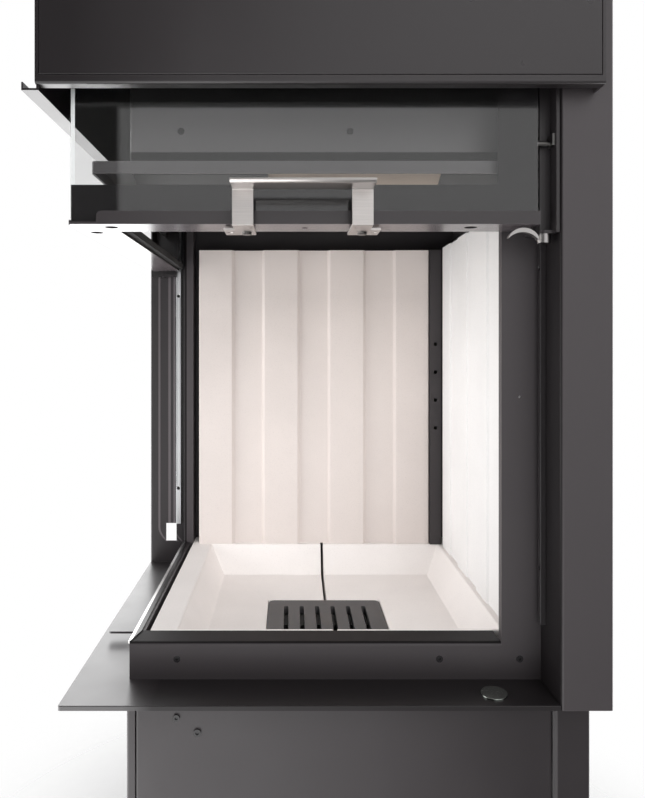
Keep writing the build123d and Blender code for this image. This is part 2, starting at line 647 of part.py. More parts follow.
with BuildPart() as sill_side:
    slab(
        (BOX_LEFT, BOX_LEFT + WALL),
        (BOX_FRONT + WALL_BEND, REAR_JAMB_FRONT),
        (FLANGE_TOP, SILL_TOP - WALL),
    )
    slab(
        (BOX_LEFT, BOX_LEFT + SIDE_SILL_WIDTH),
        (BOX_FRONT + SILL_DEPTH, REAR_JAMB_FRONT),
        (SILL_TOP - WALL, SILL_TOP),
    )
    slab(
        (BOX_LEFT + SIDE_SILL_WIDTH - FRAME_SHEET, BOX_LEFT + SIDE_SILL_WIDTH),
        (BOX_FRONT + SILL_DEPTH, REAR_JAMB_FRONT),
        (SILL_TOP - WALL - SILL_LIP, SILL_TOP - WALL),
    )
    slab(
        (BOX_LEFT, BOX_LEFT + WALL),
        (
            AIR_Y + AIR_TRAVEL[0] - AIR_WIDTH / 2 - AIR_SLOT_END,
            AIR_Y + AIR_TRAVEL[1] + AIR_WIDTH / 2 + AIR_SLOT_END,
        ),
        (AIR_Z[0] - AIR_PLAY, AIR_Z[1] + AIR_PLAY),
        Mode.SUBTRACT,
    )
sill_side.part.label = "sill_side"
export_step(sill_side.part, "parts/sill_side.step")

TRIM = 1.2
TRIM_SIDE = 1.5             # trim below the sill's upper face
TRIM_WIDTH = 7.5
TRIM_MITRE = 30.5

with BuildPart() as sill_trim:
    slab(
        (BOX_LEFT - TRIM, BOX_LEFT),
        (BOX_FRONT, REAR_JAMB_FRONT),
        (SILL_TOP - TRIM_SIDE, SILL_TOP + TRIM),
    )
    prism(
        (
            (BOX_LEFT, BOX_FRONT),
            (BOX_LEFT + TRIM_WIDTH, BOX_FRONT + TRIM_MITRE),
            (BOX_LEFT + TRIM_WIDTH, REAR_JAMB_FRONT),
            (BOX_LEFT, REAR_JAMB_FRONT),
        ),
        (SILL_TOP, SILL_TOP + TRIM),
    )
sill_trim.part.label = "sill_trim"
export_step(sill_trim.part, "parts/sill_trim.step")

with BuildPart() as air_control_slider:
    bar_y = (AIR_Y - AIR_WIDTH / 2, AIR_Y + AIR_WIDTH / 2)
    blade_x = (BOX_LEFT + WALL + CLEAR, BOX_LEFT + SIDE_SILL_WIDTH - FRAME_SHEET - 2 * CLEAR)
    slab((FLANGE_LEFT + AIR_TIP_INSET, blade_x[0]), bar_y, AIR_Z)
    slab(blade_x, (AIR_Y - AIR_BLADE, AIR_Y + AIR_BLADE), AIR_BLADE_Z)
    tip = air_control_slider.edges().filter_by(Axis.Z).group_by(Axis.X)[0]
    fillet(tip, AIR_TIP_ROUND)
air_control_slider.part.label = "air_control_slider"
export_step(air_control_slider.part, "parts/air_control_slider.step")

HEM = 1.0
HEM_HEIGHT = 18.0

with BuildPart() as header:
    folded_sheet(
        Plane.XY.offset(HEADER_BOTTOM),
        ((BOX_LEFT, WALL_Y), (BOX_LEFT, BOX_FRONT), (WALL_X + WALL, BOX_FRONT)),
        WALL,
        CHAMBER_TOP - HEADER_BOTTOM,
        radius=WALL_BEND,
    )
    slab(
        (BOX_LEFT + WALL_BEND, POST_X - CLEAR),
        (BOX_FRONT - HEM, BOX_FRONT),
        (HEADER_BOTTOM, HEADER_BOTTOM + HEM_HEIGHT),
    )
    for x, z in HEADER_SCREWS:
        countersink((x, BOX_FRONT, z), BACK, SCREW_HEAD, SCREW_SINK, SCREW_SHANK)
header.part.label = "header"
export_step(header.part, "parts/header.step")

# Angle that the raised door's lower edge hangs in front of.
LINTEL_HEIGHT = 12.7
LINTEL_REACH = 35.5
LINTEL_SIDE_REACH = 32.0
LINTEL_END_GAP = 6.0        # lintel's ends short of the door's ends
LINTEL_ROUND = 4.5

with BuildPart() as lintel:
    lintel_front = BOX_FRONT - LINTEL_REACH
    lintel_left = BOX_LEFT - LINTEL_SIDE_REACH
    lintel_right = DOOR_RIGHT - LINTEL_END_GAP
    lintel_rear = DOOR_REAR - LINTEL_END_GAP
    lintel_z = (HEADER_BOTTOM - LINTEL_HEIGHT, HEADER_BOTTOM)
    slab((lintel_left, lintel_right), (lintel_front, BOX_FRONT), lintel_z)
    slab((lintel_left, BOX_LEFT), (BOX_FRONT, lintel_rear), lintel_z)
    corner = lintel.edges().filter_by(Axis.Z).group_by(Axis.X)[0].sort_by(Axis.Y)[0]
    fillet(corner, LINTEL_ROUND)
    hollow_z = (lintel_z[0], lintel_z[1] - FRAME_SHEET)
    slab(
        (lintel_left + FRAME_SHEET, lintel_right),
        (lintel_front + FRAME_SHEET, BOX_FRONT),
        hollow_z,
        Mode.SUBTRACT,
    )
    slab((lintel_left + FRAME_SHEET, BOX_LEFT), (BOX_FRONT, lintel_rear), hollow_z, Mode.SUBTRACT)
lintel.part.label = "lintel"
export_step(lintel.part, "parts/lintel.step")

# Vermiculite board over the fire; its nose rises towards the front opening.
# Two folded ceiling plates carry its sides.
BOARD_X = (BOX_LEFT + 139.5, JAMB_LEFT - 54.0)
BOARD_REAR = 80.0
BOARD_BOTTOM = HEADER_BOTTOM - 21.7
BOARD_THICKNESS = 25.0
NOSE_RISE = 19.0
NOSE_RUN = 42.0
CARRIER = 2.0
CARRIER_OVERLAP = 10.0
BOARD_GAP = 2.5
BOARD_FRONT = BOX_FRONT + WALL + BOARD_GAP


def nosed_plate(x, drop, thickness):
    """Plate along y whose front part rises, a drop below the board."""
    low = BOARD_BOTTOM - drop
    high = low + thickness
    knee = BOARD_FRONT + NOSE_RUN
    with BuildSketch(Plane.YZ.offset(x[0])) as section:
        with BuildLine():
            Polyline(
                (BOARD_FRONT, low + NOSE_RISE),
                (knee, low),
                (BOARD_REAR, low),
                (BOARD_REAR, high),
                (knee, high),
                (BOARD_FRONT, high + NOSE_RISE),
                close=True,
            )
        make_face()
    extrude(section.sketch, amount=x[1] - x[0])


with BuildPart() as baffle:
    nosed_plate(BOARD_X, 0.0, BOARD_THICKNESS)
baffle.part.label = "baffle"
export_step(baffle.part, "parts/baffle.step")

with BuildPart() as ceiling_plates:
    nosed_plate((BOX_LEFT + WALL, BOARD_X[0] + CARRIER_OVERLAP), CARRIER, CARRIER)
    nosed_plate((BOARD_X[1] - CARRIER_OVERLAP, WALL_X), CARRIER, CARRIER)
ceiling_plates.part.label = "ceiling_plates"
export_step(ceiling_plates.part, "parts/ceiling_plates.step")

# Smoke dome and flue.
FLUE_CENTRE = (19.0, 18.0)
DOME_DEPTH = 130.0          # neck of the dome under the hood's top
DOME_TOP = HOOD_TOP - DOME_DEPTH
DOME_SHEET = 3.0
FLUE_RADIUS = 90.0
FLUE_LENGTH = 40.0
FLUE_WALL = 2.0
COLLAR_RADIUS = 88.0
COLLAR_RING = 110.0


def dome_solid(inset):
    """Loft from the firebox's outline to the collar, drawn in by an inset."""
    x = (BOX_LEFT + WALL + inset, WALL_X - inset)
    y = (BOX_FRONT + WALL + inset, WALL_Y - inset)
    with BuildSketch(Plane((*FLUE_CENTRE, DOME_TOP))) as throat:
        Circle(COLLAR_RADIUS - inset)
    return [level(x, y, CHAMBER_TOP), throat.sketch]


with BuildPart() as smoke_dome:
    loft(sections=dome_solid(0.0))
    slab(
        (BOX_LEFT, WALL_X + WALL), (BOX_FRONT, WALL_Y + WALL), (CHAMBER_TOP, CHAMBER_TOP + WALL)
    )
    loft(sections=dome_solid(DOME_SHEET), mode=Mode.SUBTRACT)
smoke_dome.part.label = "smoke_dome"
export_step(smoke_dome.part, "parts/smoke_dome.step")

with BuildPart() as flue_collar:
    bore = COLLAR_RADIUS - FLUE_WALL
    ring((*FLUE_CENTRE, DOME_TOP), UP, COLLAR_RADIUS, bore, HOOD_TOP - DOME_TOP)
    ring((*FLUE_CENTRE, HOOD_TOP), UP, COLLAR_RING, bore, SHEET)
    ring((*FLUE_CENTRE, HOOD_TOP + SHEET), UP, FLUE_RADIUS, bore, FLUE_LENGTH)
flue_collar.part.label = "flue_collar"
export_step(flue_collar.part, "parts/flue_collar.step")

# Perforated air profile in the rear right corner of the lining.
PROFILE_HOLES = [SILL_TOP + 187.8 + 45.0 * step for step in range(4)]
PROFILE_HOLE = 3.0
PROFILE_REACH = 4.4         # profile in front of the back lining's face
PROFILE_SEAM = 1.0

with BuildPart() as corner_air_profile:
    profile_x = (BACK_LINING_X[1] + PROFILE_SEAM, SIDE_FACE_X - CLEAR)
    profile_y = (BACK_FACE_Y - PROFILE_REACH, LINING_BACK_Y)
    slab(profile_x, profile_y, (SILL_TOP, LINING_TOP))
    slab(
        (profile_x[0] + SHEET, profile_x[1] - SHEET),
        (profile_y[0] + SHEET, profile_y[1]),
        (SILL_TOP, LINING_TOP),
        Mode.SUBTRACT,
    )
    for z in PROFILE_HOLES:
        spot = (sum(profile_x) / 2, profile_y[0], z)
        round_bar(spot, BACK, PROFILE_HOLE, SHEET, Mode.SUBTRACT)
corner_air_profile.part.label = "corner_air_profile"
export_step(corner_air_profile.part, "parts/corner_air_profile.step")

# ================================================================== posts ==
with BuildPart() as post_right:
    folded_sheet(
        Plane.XY.offset(FLANGE_BOTTOM),
        (
            (POST_X, BOX_FRONT),
            (POST_X, FLANGE_FRONT),
            (HOUSING_RIGHT, FLANGE_FRONT),
            (HOUSING_RIGHT, BOX_FRONT + SHEET),
        ),
        POST_SHEET,
        HOOD_INSIDE_TOP - FLANGE_BOTTOM,
    )
post_right.part.label = "post_right"
export_step(post_right.part, "parts/post_right.step")

LEFT_POST_TOP = HOOD_TOP - 60.0
POST_LIP = 12.0
WINDOW_X = (FLANGE_LEFT + 26.0, FLANGE_LEFT + 43.1)
WINDOW_Z = (FLANGE_TOP + 35.0, FLANGE_TOP + 64.4)

with BuildPart() as post_left:
    folded_sheet(
        Plane.XY.offset(FLANGE_TOP),
        (
            (FLANGE_LEFT + POST_LIP, POST_REAR),
            (FLANGE_LEFT, POST_REAR),
            (FLANGE_LEFT, POST_Y),
            (BOX_LEFT, POST_Y),
        ),
        POST_SHEET,
        LEFT_POST_TOP - FLANGE_TOP,
    )
    slab(WINDOW_X, (POST_Y, POST_Y + POST_SHEET), WINDOW_Z, Mode.SUBTRACT)
post_left.part.label = "post_left"
export_step(post_left.part, "parts/post_left.step")

# Bright rails that guide the door's rollers, one on each post.
RAIL_U = (43.2, 51.4)
RAIL_DEPTH = 6.0
RAIL_V = (POST_GAP - RAIL_DEPTH, POST_GAP)
RAIL_Z = (FLANGE_TOP + 64.5, LEFT_POST_TOP)
RAIL_HOLE = 2.6
RAIL_HOLES = [RAIL_Z[0] + 59.3 + 319.1 * step for step in range(3)]

with BuildPart() as guide_rails:
    for end in ("right", "left"):
        end_slab(end, RAIL_U, RAIL_V, RAIL_Z)
        for z in RAIL_HOLES:
            end_bar(end, sum(RAIL_U) / 2, RAIL_V[0], z, RAIL_HOLE, RAIL_DEPTH, Mode.SUBTRACT)
guide_rails.part.label = "guide_rails"
export_step(guide_rails.part, "parts/guide_rails.step")

# ========================================================= hood and covers ==
HOOD_PANEL = 3.5
POCKET_DEPTH = 2.0
HOOD_RIGHT = HOUSING_RIGHT - 18.5
HEM_BAND = 8.1              # plain band under the front cover
HEM_ROUND = 3.0
HEM_RETURN = 10.0
COVER_BORDER = 3.2
HOOD_COVER_X = (HOOD_LEFT + COVER_BORDER, HOOD_RIGHT - COVER_BORDER)
COVER_SEAM = 0.8
COVER_EDGE = 0.6

with BuildPart() as hood_front:
    slab(
        (HOOD_LEFT, HOOD_RIGHT),
        (HOOD_FRONT, HOOD_FRONT + HOOD_PANEL),
        (HOOD_BOTTOM, HOOD_INSIDE_TOP),
    )
    slab(
        (HOOD_RIGHT - POST_SHEET, HOOD_RIGHT),
        (HOOD_FRONT + HOOD_PANEL, FLANGE_FRONT),
        (HOOD_BOTTOM, HOOD_INSIDE_TOP),
    )
    slab(
        (HOOD_LEFT + SHEET, HOOD_RIGHT - POST_SHEET),
        (HOOD_FRONT + HOOD_PANEL, HOOD_FRONT + HOOD_PANEL + HEM_RETURN),
        (HOOD_BOTTOM, HOOD_BOTTOM + SHEET),
    )
    hem = hood_front.edges().filter_by(Axis.X).group_by(Axis.Y)[0].sort_by(Axis.Z)[0]
    fillet(hem, HEM_ROUND)
    slab(
        HOOD_COVER_X,
        (HOOD_FRONT, HOOD_FRONT + POCKET_DEPTH),
        (HOOD_BOTTOM + HEM_BAND, HOOD_INSIDE_TOP),
        Mode.SUBTRACT,
    )
hood_front.part.label = "hood_front"
export_step(hood_front.part, "parts/hood_front.step")

with BuildPart() as hood_front_cover:
    slab(
        (HOOD_COVER_X[0] + COVER_SEAM, HOOD_COVER_X[1] - COVER_SEAM),
        (HOOD_FRONT, HOOD_FRONT + POCKET_DEPTH),
        (HOOD_BOTTOM + HEM_BAND + COVER_SEAM, HOOD_INSIDE_TOP - COVER_SEAM),
    )
    front_face = hood_front_cover.faces().sort_by(Axis.Y)[0]
    fillet(front_face.edges(), COVER_EDGE)
hood_front_cover.part.label = "hood_front_cover"
export_step(hood_front_cover.part, "parts/hood_front_cover.step")

HOOD_FLANGE = 14.5
HOOD_LIP = 6.0
HOOD_LIP_SHEET = 1.5
HOOD_SIDE_DROP = 5.0        # side sheet below the front panel
HOOD_SIDE_SEAM = 1.0

with BuildPart() as hood_left_side:
    side_y = (HOOD_FRONT + HOOD_PANEL + HOOD_SIDE_SEAM, HOUSING_REAR - SHEET)
    side_bottom = HOOD_BOTTOM - HOOD_SIDE_DROP
    ledge_top = side_bottom + SHEET
    lip_x = HOOD_LEFT - HOOD_FLANGE
    slab((HOOD_LEFT, HOOD_LEFT + SHEET), side_y, (ledge_top, HOOD_INSIDE_TOP))
    slab((lip_x, HOOD_LEFT + SHEET), side_y, (side_bottom, ledge_top))
    slab((lip_x, lip_x + HOOD_LIP_SHEET), side_y, (ledge_top, ledge_top + HOOD_LIP))
hood_left_side.part.label = "hood_left_side"
export_step(hood_left_side.part, "parts/hood_left_side.step")

with BuildPart() as hood_top:
    slab((HOOD_LEFT, HOUSING_RIGHT), (HOOD_FRONT, HOUSING_REAR), (HOOD_INSIDE_TOP, HOOD_TOP))
    round_bar(
        (*FLUE_CENTRE, HOOD_INSIDE_TOP), UP, COLLAR_RADIUS + FIT, SHEET, Mode.SUBTRACT
    )
hood_top.part.label = "hood_top"
export_step(hood_top.part, "parts/hood_top.step")

COVER_FLANGE = 25.0
REAR_COVER_LEFT = TUB_LEFT + 1.0

with BuildPart() as right_side_panel:
    panel_y = (BOX_FRONT + SHEET, HOUSING_REAR)
    slab(
        (HOUSING_RIGHT - SHEET, HOUSING_RIGHT), panel_y, (FLANGE_BOTTOM, HOOD_INSIDE_TOP)
    )
    slab(
        (HOUSING_RIGHT - SHEET - COVER_FLANGE, HOUSING_RIGHT - SHEET),
        (panel_y[0], BASE_REAR - SHEET),
        (FLANGE_BOTTOM, FLANGE_BOTTOM + SHEET),
    )
right_side_panel.part.label = "right_side_panel"
export_step(right_side_panel.part, "parts/right_side_panel.step")

with BuildPart() as rear_cover:
    rear_y = (HOUSING_REAR - SHEET, HOUSING_REAR)
    slab((HOOD_LEFT, HOUSING_RIGHT - SHEET), rear_y, (HOOD_BOTTOM, HOOD_INSIDE_TOP))
    slab((REAR_COVER_LEFT, HOUSING_RIGHT - SHEET), rear_y, (FLANGE_BOTTOM, HOOD_BOTTOM))
    slab(
        (REAR_COVER_LEFT, HOUSING_RIGHT - SHEET),
        (BASE_REAR - SHEET, HOUSING_REAR - SHEET),
        (FLANGE_BOTTOM, FLANGE_BOTTOM + SHEET),
    )
rear_cover.part.label = "rear_cover"
export_step(rear_cover.part, "parts/rear_cover.step")

# ============================================================== lift gear ==
PULLEY_Z = HOOD_TOP - 35.0
PULLEY_PITCH = 20.5         # radius of the cable's middle line on the wheels
PULLEY_RIM = 23.5
PULLEY_ROOT = 18.7
PULLEY_WIDTH = 8.0
GROOVE = 1.9                # half width of the groove's floor
RIM_FLAT = 1.0
LIGHTENING = 2.5
CABLE = 1.5
CABLE_V = 11.0              # cable outward of the door's end
CABLE_U = 12.0              # cable inward of the flange's edge
SHAFT = 6.0
SHAFT_END = 1.5             # shaft beyond the wheels
PIN_COLLAR = 9.0
RUNNING_FIT = 0.05
FRONT_PULLEY_Y = FLANGE_FRONT + CABLE_U + PULLEY_PITCH
RIGHT_CABLE_X = DOOR_RIGHT + CABLE_V
LEFT_CABLE_X = FLANGE_LEFT + CABLE_U
LEFT_CABLE_Y = DOOR_REAR + CABLE_V
REAR_SHAFT_Y = LEFT_CABLE_Y + PULLEY_PITCH
REAR_CABLE_Y = REAR_SHAFT_Y + PULLEY_PITCH


def cable_wheel(x, y, bore):
    """Grooved wheel about an axis parallel to x, centred on a cable."""
    half = PULLEY_WIDTH / 2
    with BuildSketch(Plane((x, y, PULLEY_Z), x_dir=RIGHT, z_dir=FRONT)) as section:
        with BuildLine():
            Polyline(
                (-half, bore),
                (-half, PULLEY_RIM),
                (-half + RIM_FLAT, PULLEY_RIM),
                (-GROOVE, PULLEY_ROOT),
                (GROOVE, PULLEY_ROOT),
                (half - RIM_FLAT, PULLEY_RIM),
                (half, PULLEY_RIM),
                (half, bore),
                close=True,
            )
        make_face()
    revolve(section.sketch, axis=Axis((x, y, PULLEY_Z), RIGHT))
    with BuildSketch(Plane((x - half, y, PULLEY_Z), z_dir=RIGHT)) as lightening:
        with PolarLocations((bore + PULLEY_ROOT) / 2, 4):
            Circle(LIGHTENING)
    extrude(lightening.sketch, amount=PULLEY_WIDTH, mode=Mode.SUBTRACT)


with BuildPart() as front_pulley:
    cable_wheel(RIGHT_CABLE_X, FRONT_PULLEY_Y, SHAFT + RUNNING_FIT)
front_pulley.part.label = "front_pulley"
export_step(front_pulley.part, "parts/front_pulley.step")

with BuildPart() as rear_pulleys:
    for x in (LEFT_CABLE_X, RIGHT_CABLE_X):
        cable_wheel(x, REAR_SHAFT_Y, SHAFT)
rear_pulleys.part.label = "rear_pulleys"
export_step(rear_pulleys.part, "parts/rear_pulleys.step")

with BuildPart() as rear_shaft:
    reach = PULLEY_WIDTH / 2 + SHAFT_END
    shaft_x = (LEFT_CABLE_X - reach, RIGHT_CABLE_X + reach)
    round_bar((shaft_x[0], REAR_SHAFT_Y, PULLEY_Z), RIGHT, SHAFT, shaft_x[1] - shaft_x[0])
rear_shaft.part.label = "rear_shaft"
export_step(rear_shaft.part, "parts/rear_shaft.step")

HANGER = 3.0
HANGER_GAP = 2.0
HANGER_FOOT = 22.0
HANGER_REACH = 14.5
HANGER_Y = (POST_Y, REAR_SHAFT_Y + HANGER_REACH)

with BuildPart() as pulley_brackets:
    near = RIGHT_CABLE_X - PULLEY_WIDTH / 2
    far = RIGHT_CABLE_X + PULLEY_WIDTH / 2
    pin_spot = (near - HANGER, FRONT_PULLEY_Y, PULLEY_Z)
    round_bar(pin_spot, RIGHT, SHAFT, POST_X - near + HANGER)
    round_bar(pin_spot, RIGHT, PIN_COLLAR, HANGER - FIT)
    spacer_spot = (far + FIT, FRONT_PULLEY_Y, PULLEY_Z)
    round_bar(spacer_spot, RIGHT, PIN_COLLAR, POST_X - far - FIT)
    left_plate = LEFT_CABLE_X + PULLEY_WIDTH / 2 + HANGER_GAP
    right_plate = RIGHT_CABLE_X - PULLEY_WIDTH / 2 - HANGER_GAP - HANGER
    for x in (left_plate, right_plate):
        slab((x, x + HANGER), HANGER_Y, (LEFT_POST_TOP, HOOD_INSIDE_TOP))
        round_bar(
            (x, REAR_SHAFT_Y, PULLEY_Z), RIGHT, SHAFT + RUNNING_FIT, HANGER, Mode.SUBTRACT
        )
    slab(
        (left_plate + HANGER, left_plate + HANGER + HANGER_FOOT),
        HANGER_Y,
        (HOOD_INSIDE_TOP - HANGER, HOOD_INSIDE_TOP),
    )
    slab(
        (right_plate - HANGER_FOOT, right_plate),
        HANGER_Y,
        (HOOD_INSIDE_TOP - HANGER, HOOD_INSIDE_TOP),
    )
pulley_brackets.part.label = "pulley_brackets"
export_step(pulley_brackets.part, "parts/pulley_brackets.step")

# Cable over the wheels; the hanging ends are pieces of their own.
with BuildPart() as cable_top_runs:
    with BuildLine(Plane.YZ.offset(RIGHT_CABLE_X)) as right_route:
        CenterArc((FRONT_PULLEY_Y, PULLEY_Z), PULLEY_PITCH, 180, -90)
        Line(
            (FRONT_PULLEY_Y, PULLEY_Z + PULLEY_PITCH), (REAR_SHAFT_Y, PULLEY_Z + PULLEY_PITCH)
        )
        CenterArc((REAR_SHAFT_Y, PULLEY_Z), PULLEY_PITCH, 90, -90)
    with BuildSketch(
        Plane((RIGHT_CABLE_X, FRONT_PULLEY_Y - PULLEY_PITCH, PULLEY_Z))
    ) as right_section:
        Circle(CABLE)
    sweep(right_section.sketch, path=right_route.line)
    with BuildLine(Plane.YZ.offset(LEFT_CABLE_X)) as left_route:
        CenterArc((REAR_SHAFT_Y, PULLEY_Z), PULLEY_PITCH, 180, -180)
    with BuildSketch(Plane((LEFT_CABLE_X, LEFT_CABLE_Y, PULLEY_Z))) as left_section:
        Circle(CABLE)
    sweep(left_section.sketch, path=left_route.line)
cable_top_runs.part.label = "cable_top_runs"
export_step(cable_top_runs.part, "parts/cable_top_runs.step")

CARRIAGE_TOP = PULLEY_Z - 35.0

with BuildPart() as cable_front_runs:
    for x, y in (
        (RIGHT_CABLE_X, FLANGE_FRONT + CABLE_U),
        (LEFT_CABLE_X, LEFT_CABLE_Y),
    ):
        round_bar((x, y, CARRIAGE_TOP), UP, CABLE, PULLEY_Z - CARRIAGE_TOP)
cable_front_runs.part.label = "cable_front_runs"
export_step(cable_front_runs.part, "parts/cable_front_runs.step")

# The weight's beam stays this far under the wheels when the door is down.
WEIGHT_HEADROOM = 366.0
WEIGHT_INSET = 61.9         # ends of the weight inside the cables
WEIGHT_HEIGHT = 176.0
WEIGHT_THICKNESS = 20.0
WEIGHT_CHAMFER = 4.0
BEAM = 10.0
BEAM_END = 4.5
BEAM_ROUND = 2.5
BEAM_TOP = PULLEY_Z - WEIGHT_HEADROOM - DOOR_TRAVEL
WEIGHT_X = (LEFT_CABLE_X + WEIGHT_INSET, RIGHT_CABLE_X - WEIGHT_INSET)
WEIGHT_Z = (BEAM_TOP - BEAM - WEIGHT_HEIGHT, BEAM_TOP - BEAM)

with BuildPart() as counterweight:
    slab(
        WEIGHT_X,
        (REAR_CABLE_Y - WEIGHT_THICKNESS / 2, REAR_CABLE_Y + WEIGHT_THICKNESS / 2),
        WEIGHT_Z,
    )
    chamfer(counterweight.edges().filter_by(Axis.Y), WEIGHT_CHAMFER)
counterweight.part.label = "counterweight"
export_step(counterweight.part, "parts/counterweight.step")

with BuildPart() as counterweight_hanger:
    slab(
        (LEFT_CABLE_X - BEAM_END, RIGHT_CABLE_X + BEAM_END),
        (REAR_CABLE_Y - BEAM / 2, REAR_CABLE_Y + BEAM / 2),
        (WEIGHT_Z[1], BEAM_TOP),
    )
    fillet(counterweight_hanger.edges().filter_by(Axis.Y), BEAM_ROUND)
counterweight_hanger.part.label = "counterweight_hanger"
export_step(counterweight_hanger.part, "parts/counterweight_hanger.step")

with BuildPart() as cable_rear_runs:
    for x in (LEFT_CABLE_X, RIGHT_CABLE_X):
        round_bar((x, REAR_CABLE_Y, BEAM_TOP), UP, CABLE, PULLEY_Z - BEAM_TOP)
cable_rear_runs.part.label = "cable_rear_runs"
export_step(cable_rear_runs.part, "parts/cable_rear_runs.step")

# =================================================================== door ==
TRAY_RIGHT = DOOR_RIGHT + 1.0
TRAY_BACK = BOX_FRONT - SEAL_GAP
SIDE_TRAY_INNER = BOX_LEFT - 9.0
LIP_LEFT = DOOR_LEFT + 27.3
LIP_HEIGHT = 13.5
LIP_ROUND = 5.0
INNER_LIP = 17.0
RIM = 1.7                   # frame's folded rim outside the side pane
RIM_HEIGHT = 5.0
RIM_START = 4.0
LARGE_HOLE = 6.75
SMALL_HOLE = 3.1
TRAY_HOLES = [
    (DOOR_LEFT + 37.8, DOOR_FRONT + 20.5, LARGE_HOLE),
    (DOOR_RIGHT - 64.3, DOOR_FRONT + 21.5, LARGE_HOLE),
    (DOOR_LEFT + 13.7, DOOR_FRONT + 56.5, LARGE_HOLE),
    (DOOR_RIGHT - 236.2, DOOR_FRONT + 24.5, SMALL_HOLE),
]
TOP_CAP = 2.5
TOP_SKIRT = 18.0
PANE_PLAY = 0.2             # around the panes in their frame

with BuildPart() as door_bottom_frame:
    slab((DOOR_LEFT, TRAY_RIGHT), (DOOR_FRONT, TRAY_BACK), (DOOR_BOTTOM, TRAY_TOP))
    slab((DOOR_LEFT, SIDE_TRAY_INNER), (TRAY_BACK, DOOR_REAR), (DOOR_BOTTOM, TRAY_TOP))
    slab(
        (LIP_LEFT, TRAY_RIGHT),
        (DOOR_FRONT, GLASS_FRONT),
        (TRAY_TOP, DOOR_BOTTOM + LIP_HEIGHT),
    )
    lip_end = door_bottom_frame.edges().filter_by(Axis.Y).group_by(Axis.Z)[-1].sort_by(Axis.X)[0]
    fillet(lip_end, LIP_ROUND)
    slab(
        (SIDE_TRAY_INNER, DOOR_RIGHT - WALL),
        (TRAY_BACK - FRAME_LIP, TRAY_BACK),
        (TRAY_TOP, DOOR_BOTTOM + INNER_LIP),
    )
    slab(
        (DOOR_LEFT - RIM, DOOR_LEFT),
        (DOOR_FRONT + RIM_START, DOOR_REAR),
        (DOOR_BOTTOM, DOOR_BOTTOM + RIM_HEIGHT),
    )
    slab(
        (SIDE_TRAY_INNER - FRAME_LIP, SIDE_TRAY_INNER),
        (TRAY_BACK - FRAME_LIP, DOOR_REAR - WALL),
        (TRAY_TOP, DOOR_BOTTOM + INNER_LIP),
    )
    for x, y, radius in TRAY_HOLES:
        round_bar((x, y, DOOR_BOTTOM), UP, radius, FRAME_SHEET, Mode.SUBTRACT)
door_bottom_frame.part.label = "door_bottom_frame"
export_step(door_bottom_frame.part, "parts/door_bottom_frame.step")

# The front pane covers the side pane's front edge.
GLASS_Z = (TRAY_TOP + PANE_PLAY, DOOR_TOP - TOP_CAP - PANE_PLAY)
GROUND_EDGE = 0.5

with BuildPart() as door_front_glass:
    slab((DOOR_LEFT, DOOR_RIGHT - CLEAR), (GLASS_FRONT, GLASS_BACK), GLASS_Z)
    left_edges = door_front_glass.edges().filter_by(Axis.Z).group_by(Axis.X)[0]
    chamfer(left_edges, GROUND_EDGE)
door_front_glass.part.label = "door_front_glass"
export_step(door_front_glass.part, "parts/door_front_glass.step")

with BuildPart() as door_side_glass:
    slab((DOOR_LEFT, SIDE_GLASS_INNER), (GLASS_BACK + FIT, DOOR_REAR), GLASS_Z)
door_side_glass.part.label = "door_side_glass"
export_step(door_side_glass.part, "parts/door_side_glass.step")

TOP_BAR = 12.0

with BuildPart() as door_top_frame:
    cap_z = (DOOR_TOP - TOP_CAP, DOOR_TOP)
    skirt_z = (DOOR_TOP - TOP_SKIRT, DOOR_TOP - TOP_CAP)
    rim_x = DOOR_LEFT - RIM
    bar_y = GLASS_BACK + TOP_BAR
    slab((rim_x, DOOR_RIGHT), (DOOR_FRONT, bar_y), cap_z)
    slab((rim_x, SIDE_GLASS_INNER + TOP_BAR), (bar_y, DOOR_REAR), cap_z)
    slab((rim_x, DOOR_RIGHT), (DOOR_FRONT, GLASS_FRONT - PANE_PLAY), skirt_z)
    slab((rim_x, DOOR_LEFT - PANE_PLAY), (GLASS_FRONT - PANE_PLAY, DOOR_REAR), skirt_z)
    inner_x = SIDE_GLASS_INNER + CLEAR
    inner_y = GLASS_BACK + CLEAR
    slab((inner_x, DOOR_RIGHT - WALL), (inner_y, inner_y + FRAME_LIP), skirt_z)
    slab((inner_x, inner_x + FRAME_LIP), (inner_y + FRAME_LIP, DOOR_REAR - WALL), skirt_z)
door_top_frame.part.label = "door_top_frame"
export_step(door_top_frame.part, "parts/door_top_frame.step")

STILE_RIGHT_U = (GLASS_BACK + FIT - FLANGE_FRONT, TRAY_BACK - FLANGE_FRONT)
STILE_LEFT_U = (SIDE_GLASS_INNER + FIT - FLANGE_LEFT, SIDE_TRAY_INNER - FLANGE_LEFT)

with BuildPart() as door_end_stiles:
    stile_z = (TRAY_TOP, DOOR_TOP - TOP_CAP)
    end_slab("right", STILE_RIGHT_U, (-WALL, 0.0), stile_z)
    end_slab("left", STILE_LEFT_U, (-WALL, 0.0), stile_z)
door_end_stiles.part.label = "door_end_stiles"
export_step(door_end_stiles.part, "parts/door_end_stiles.step")

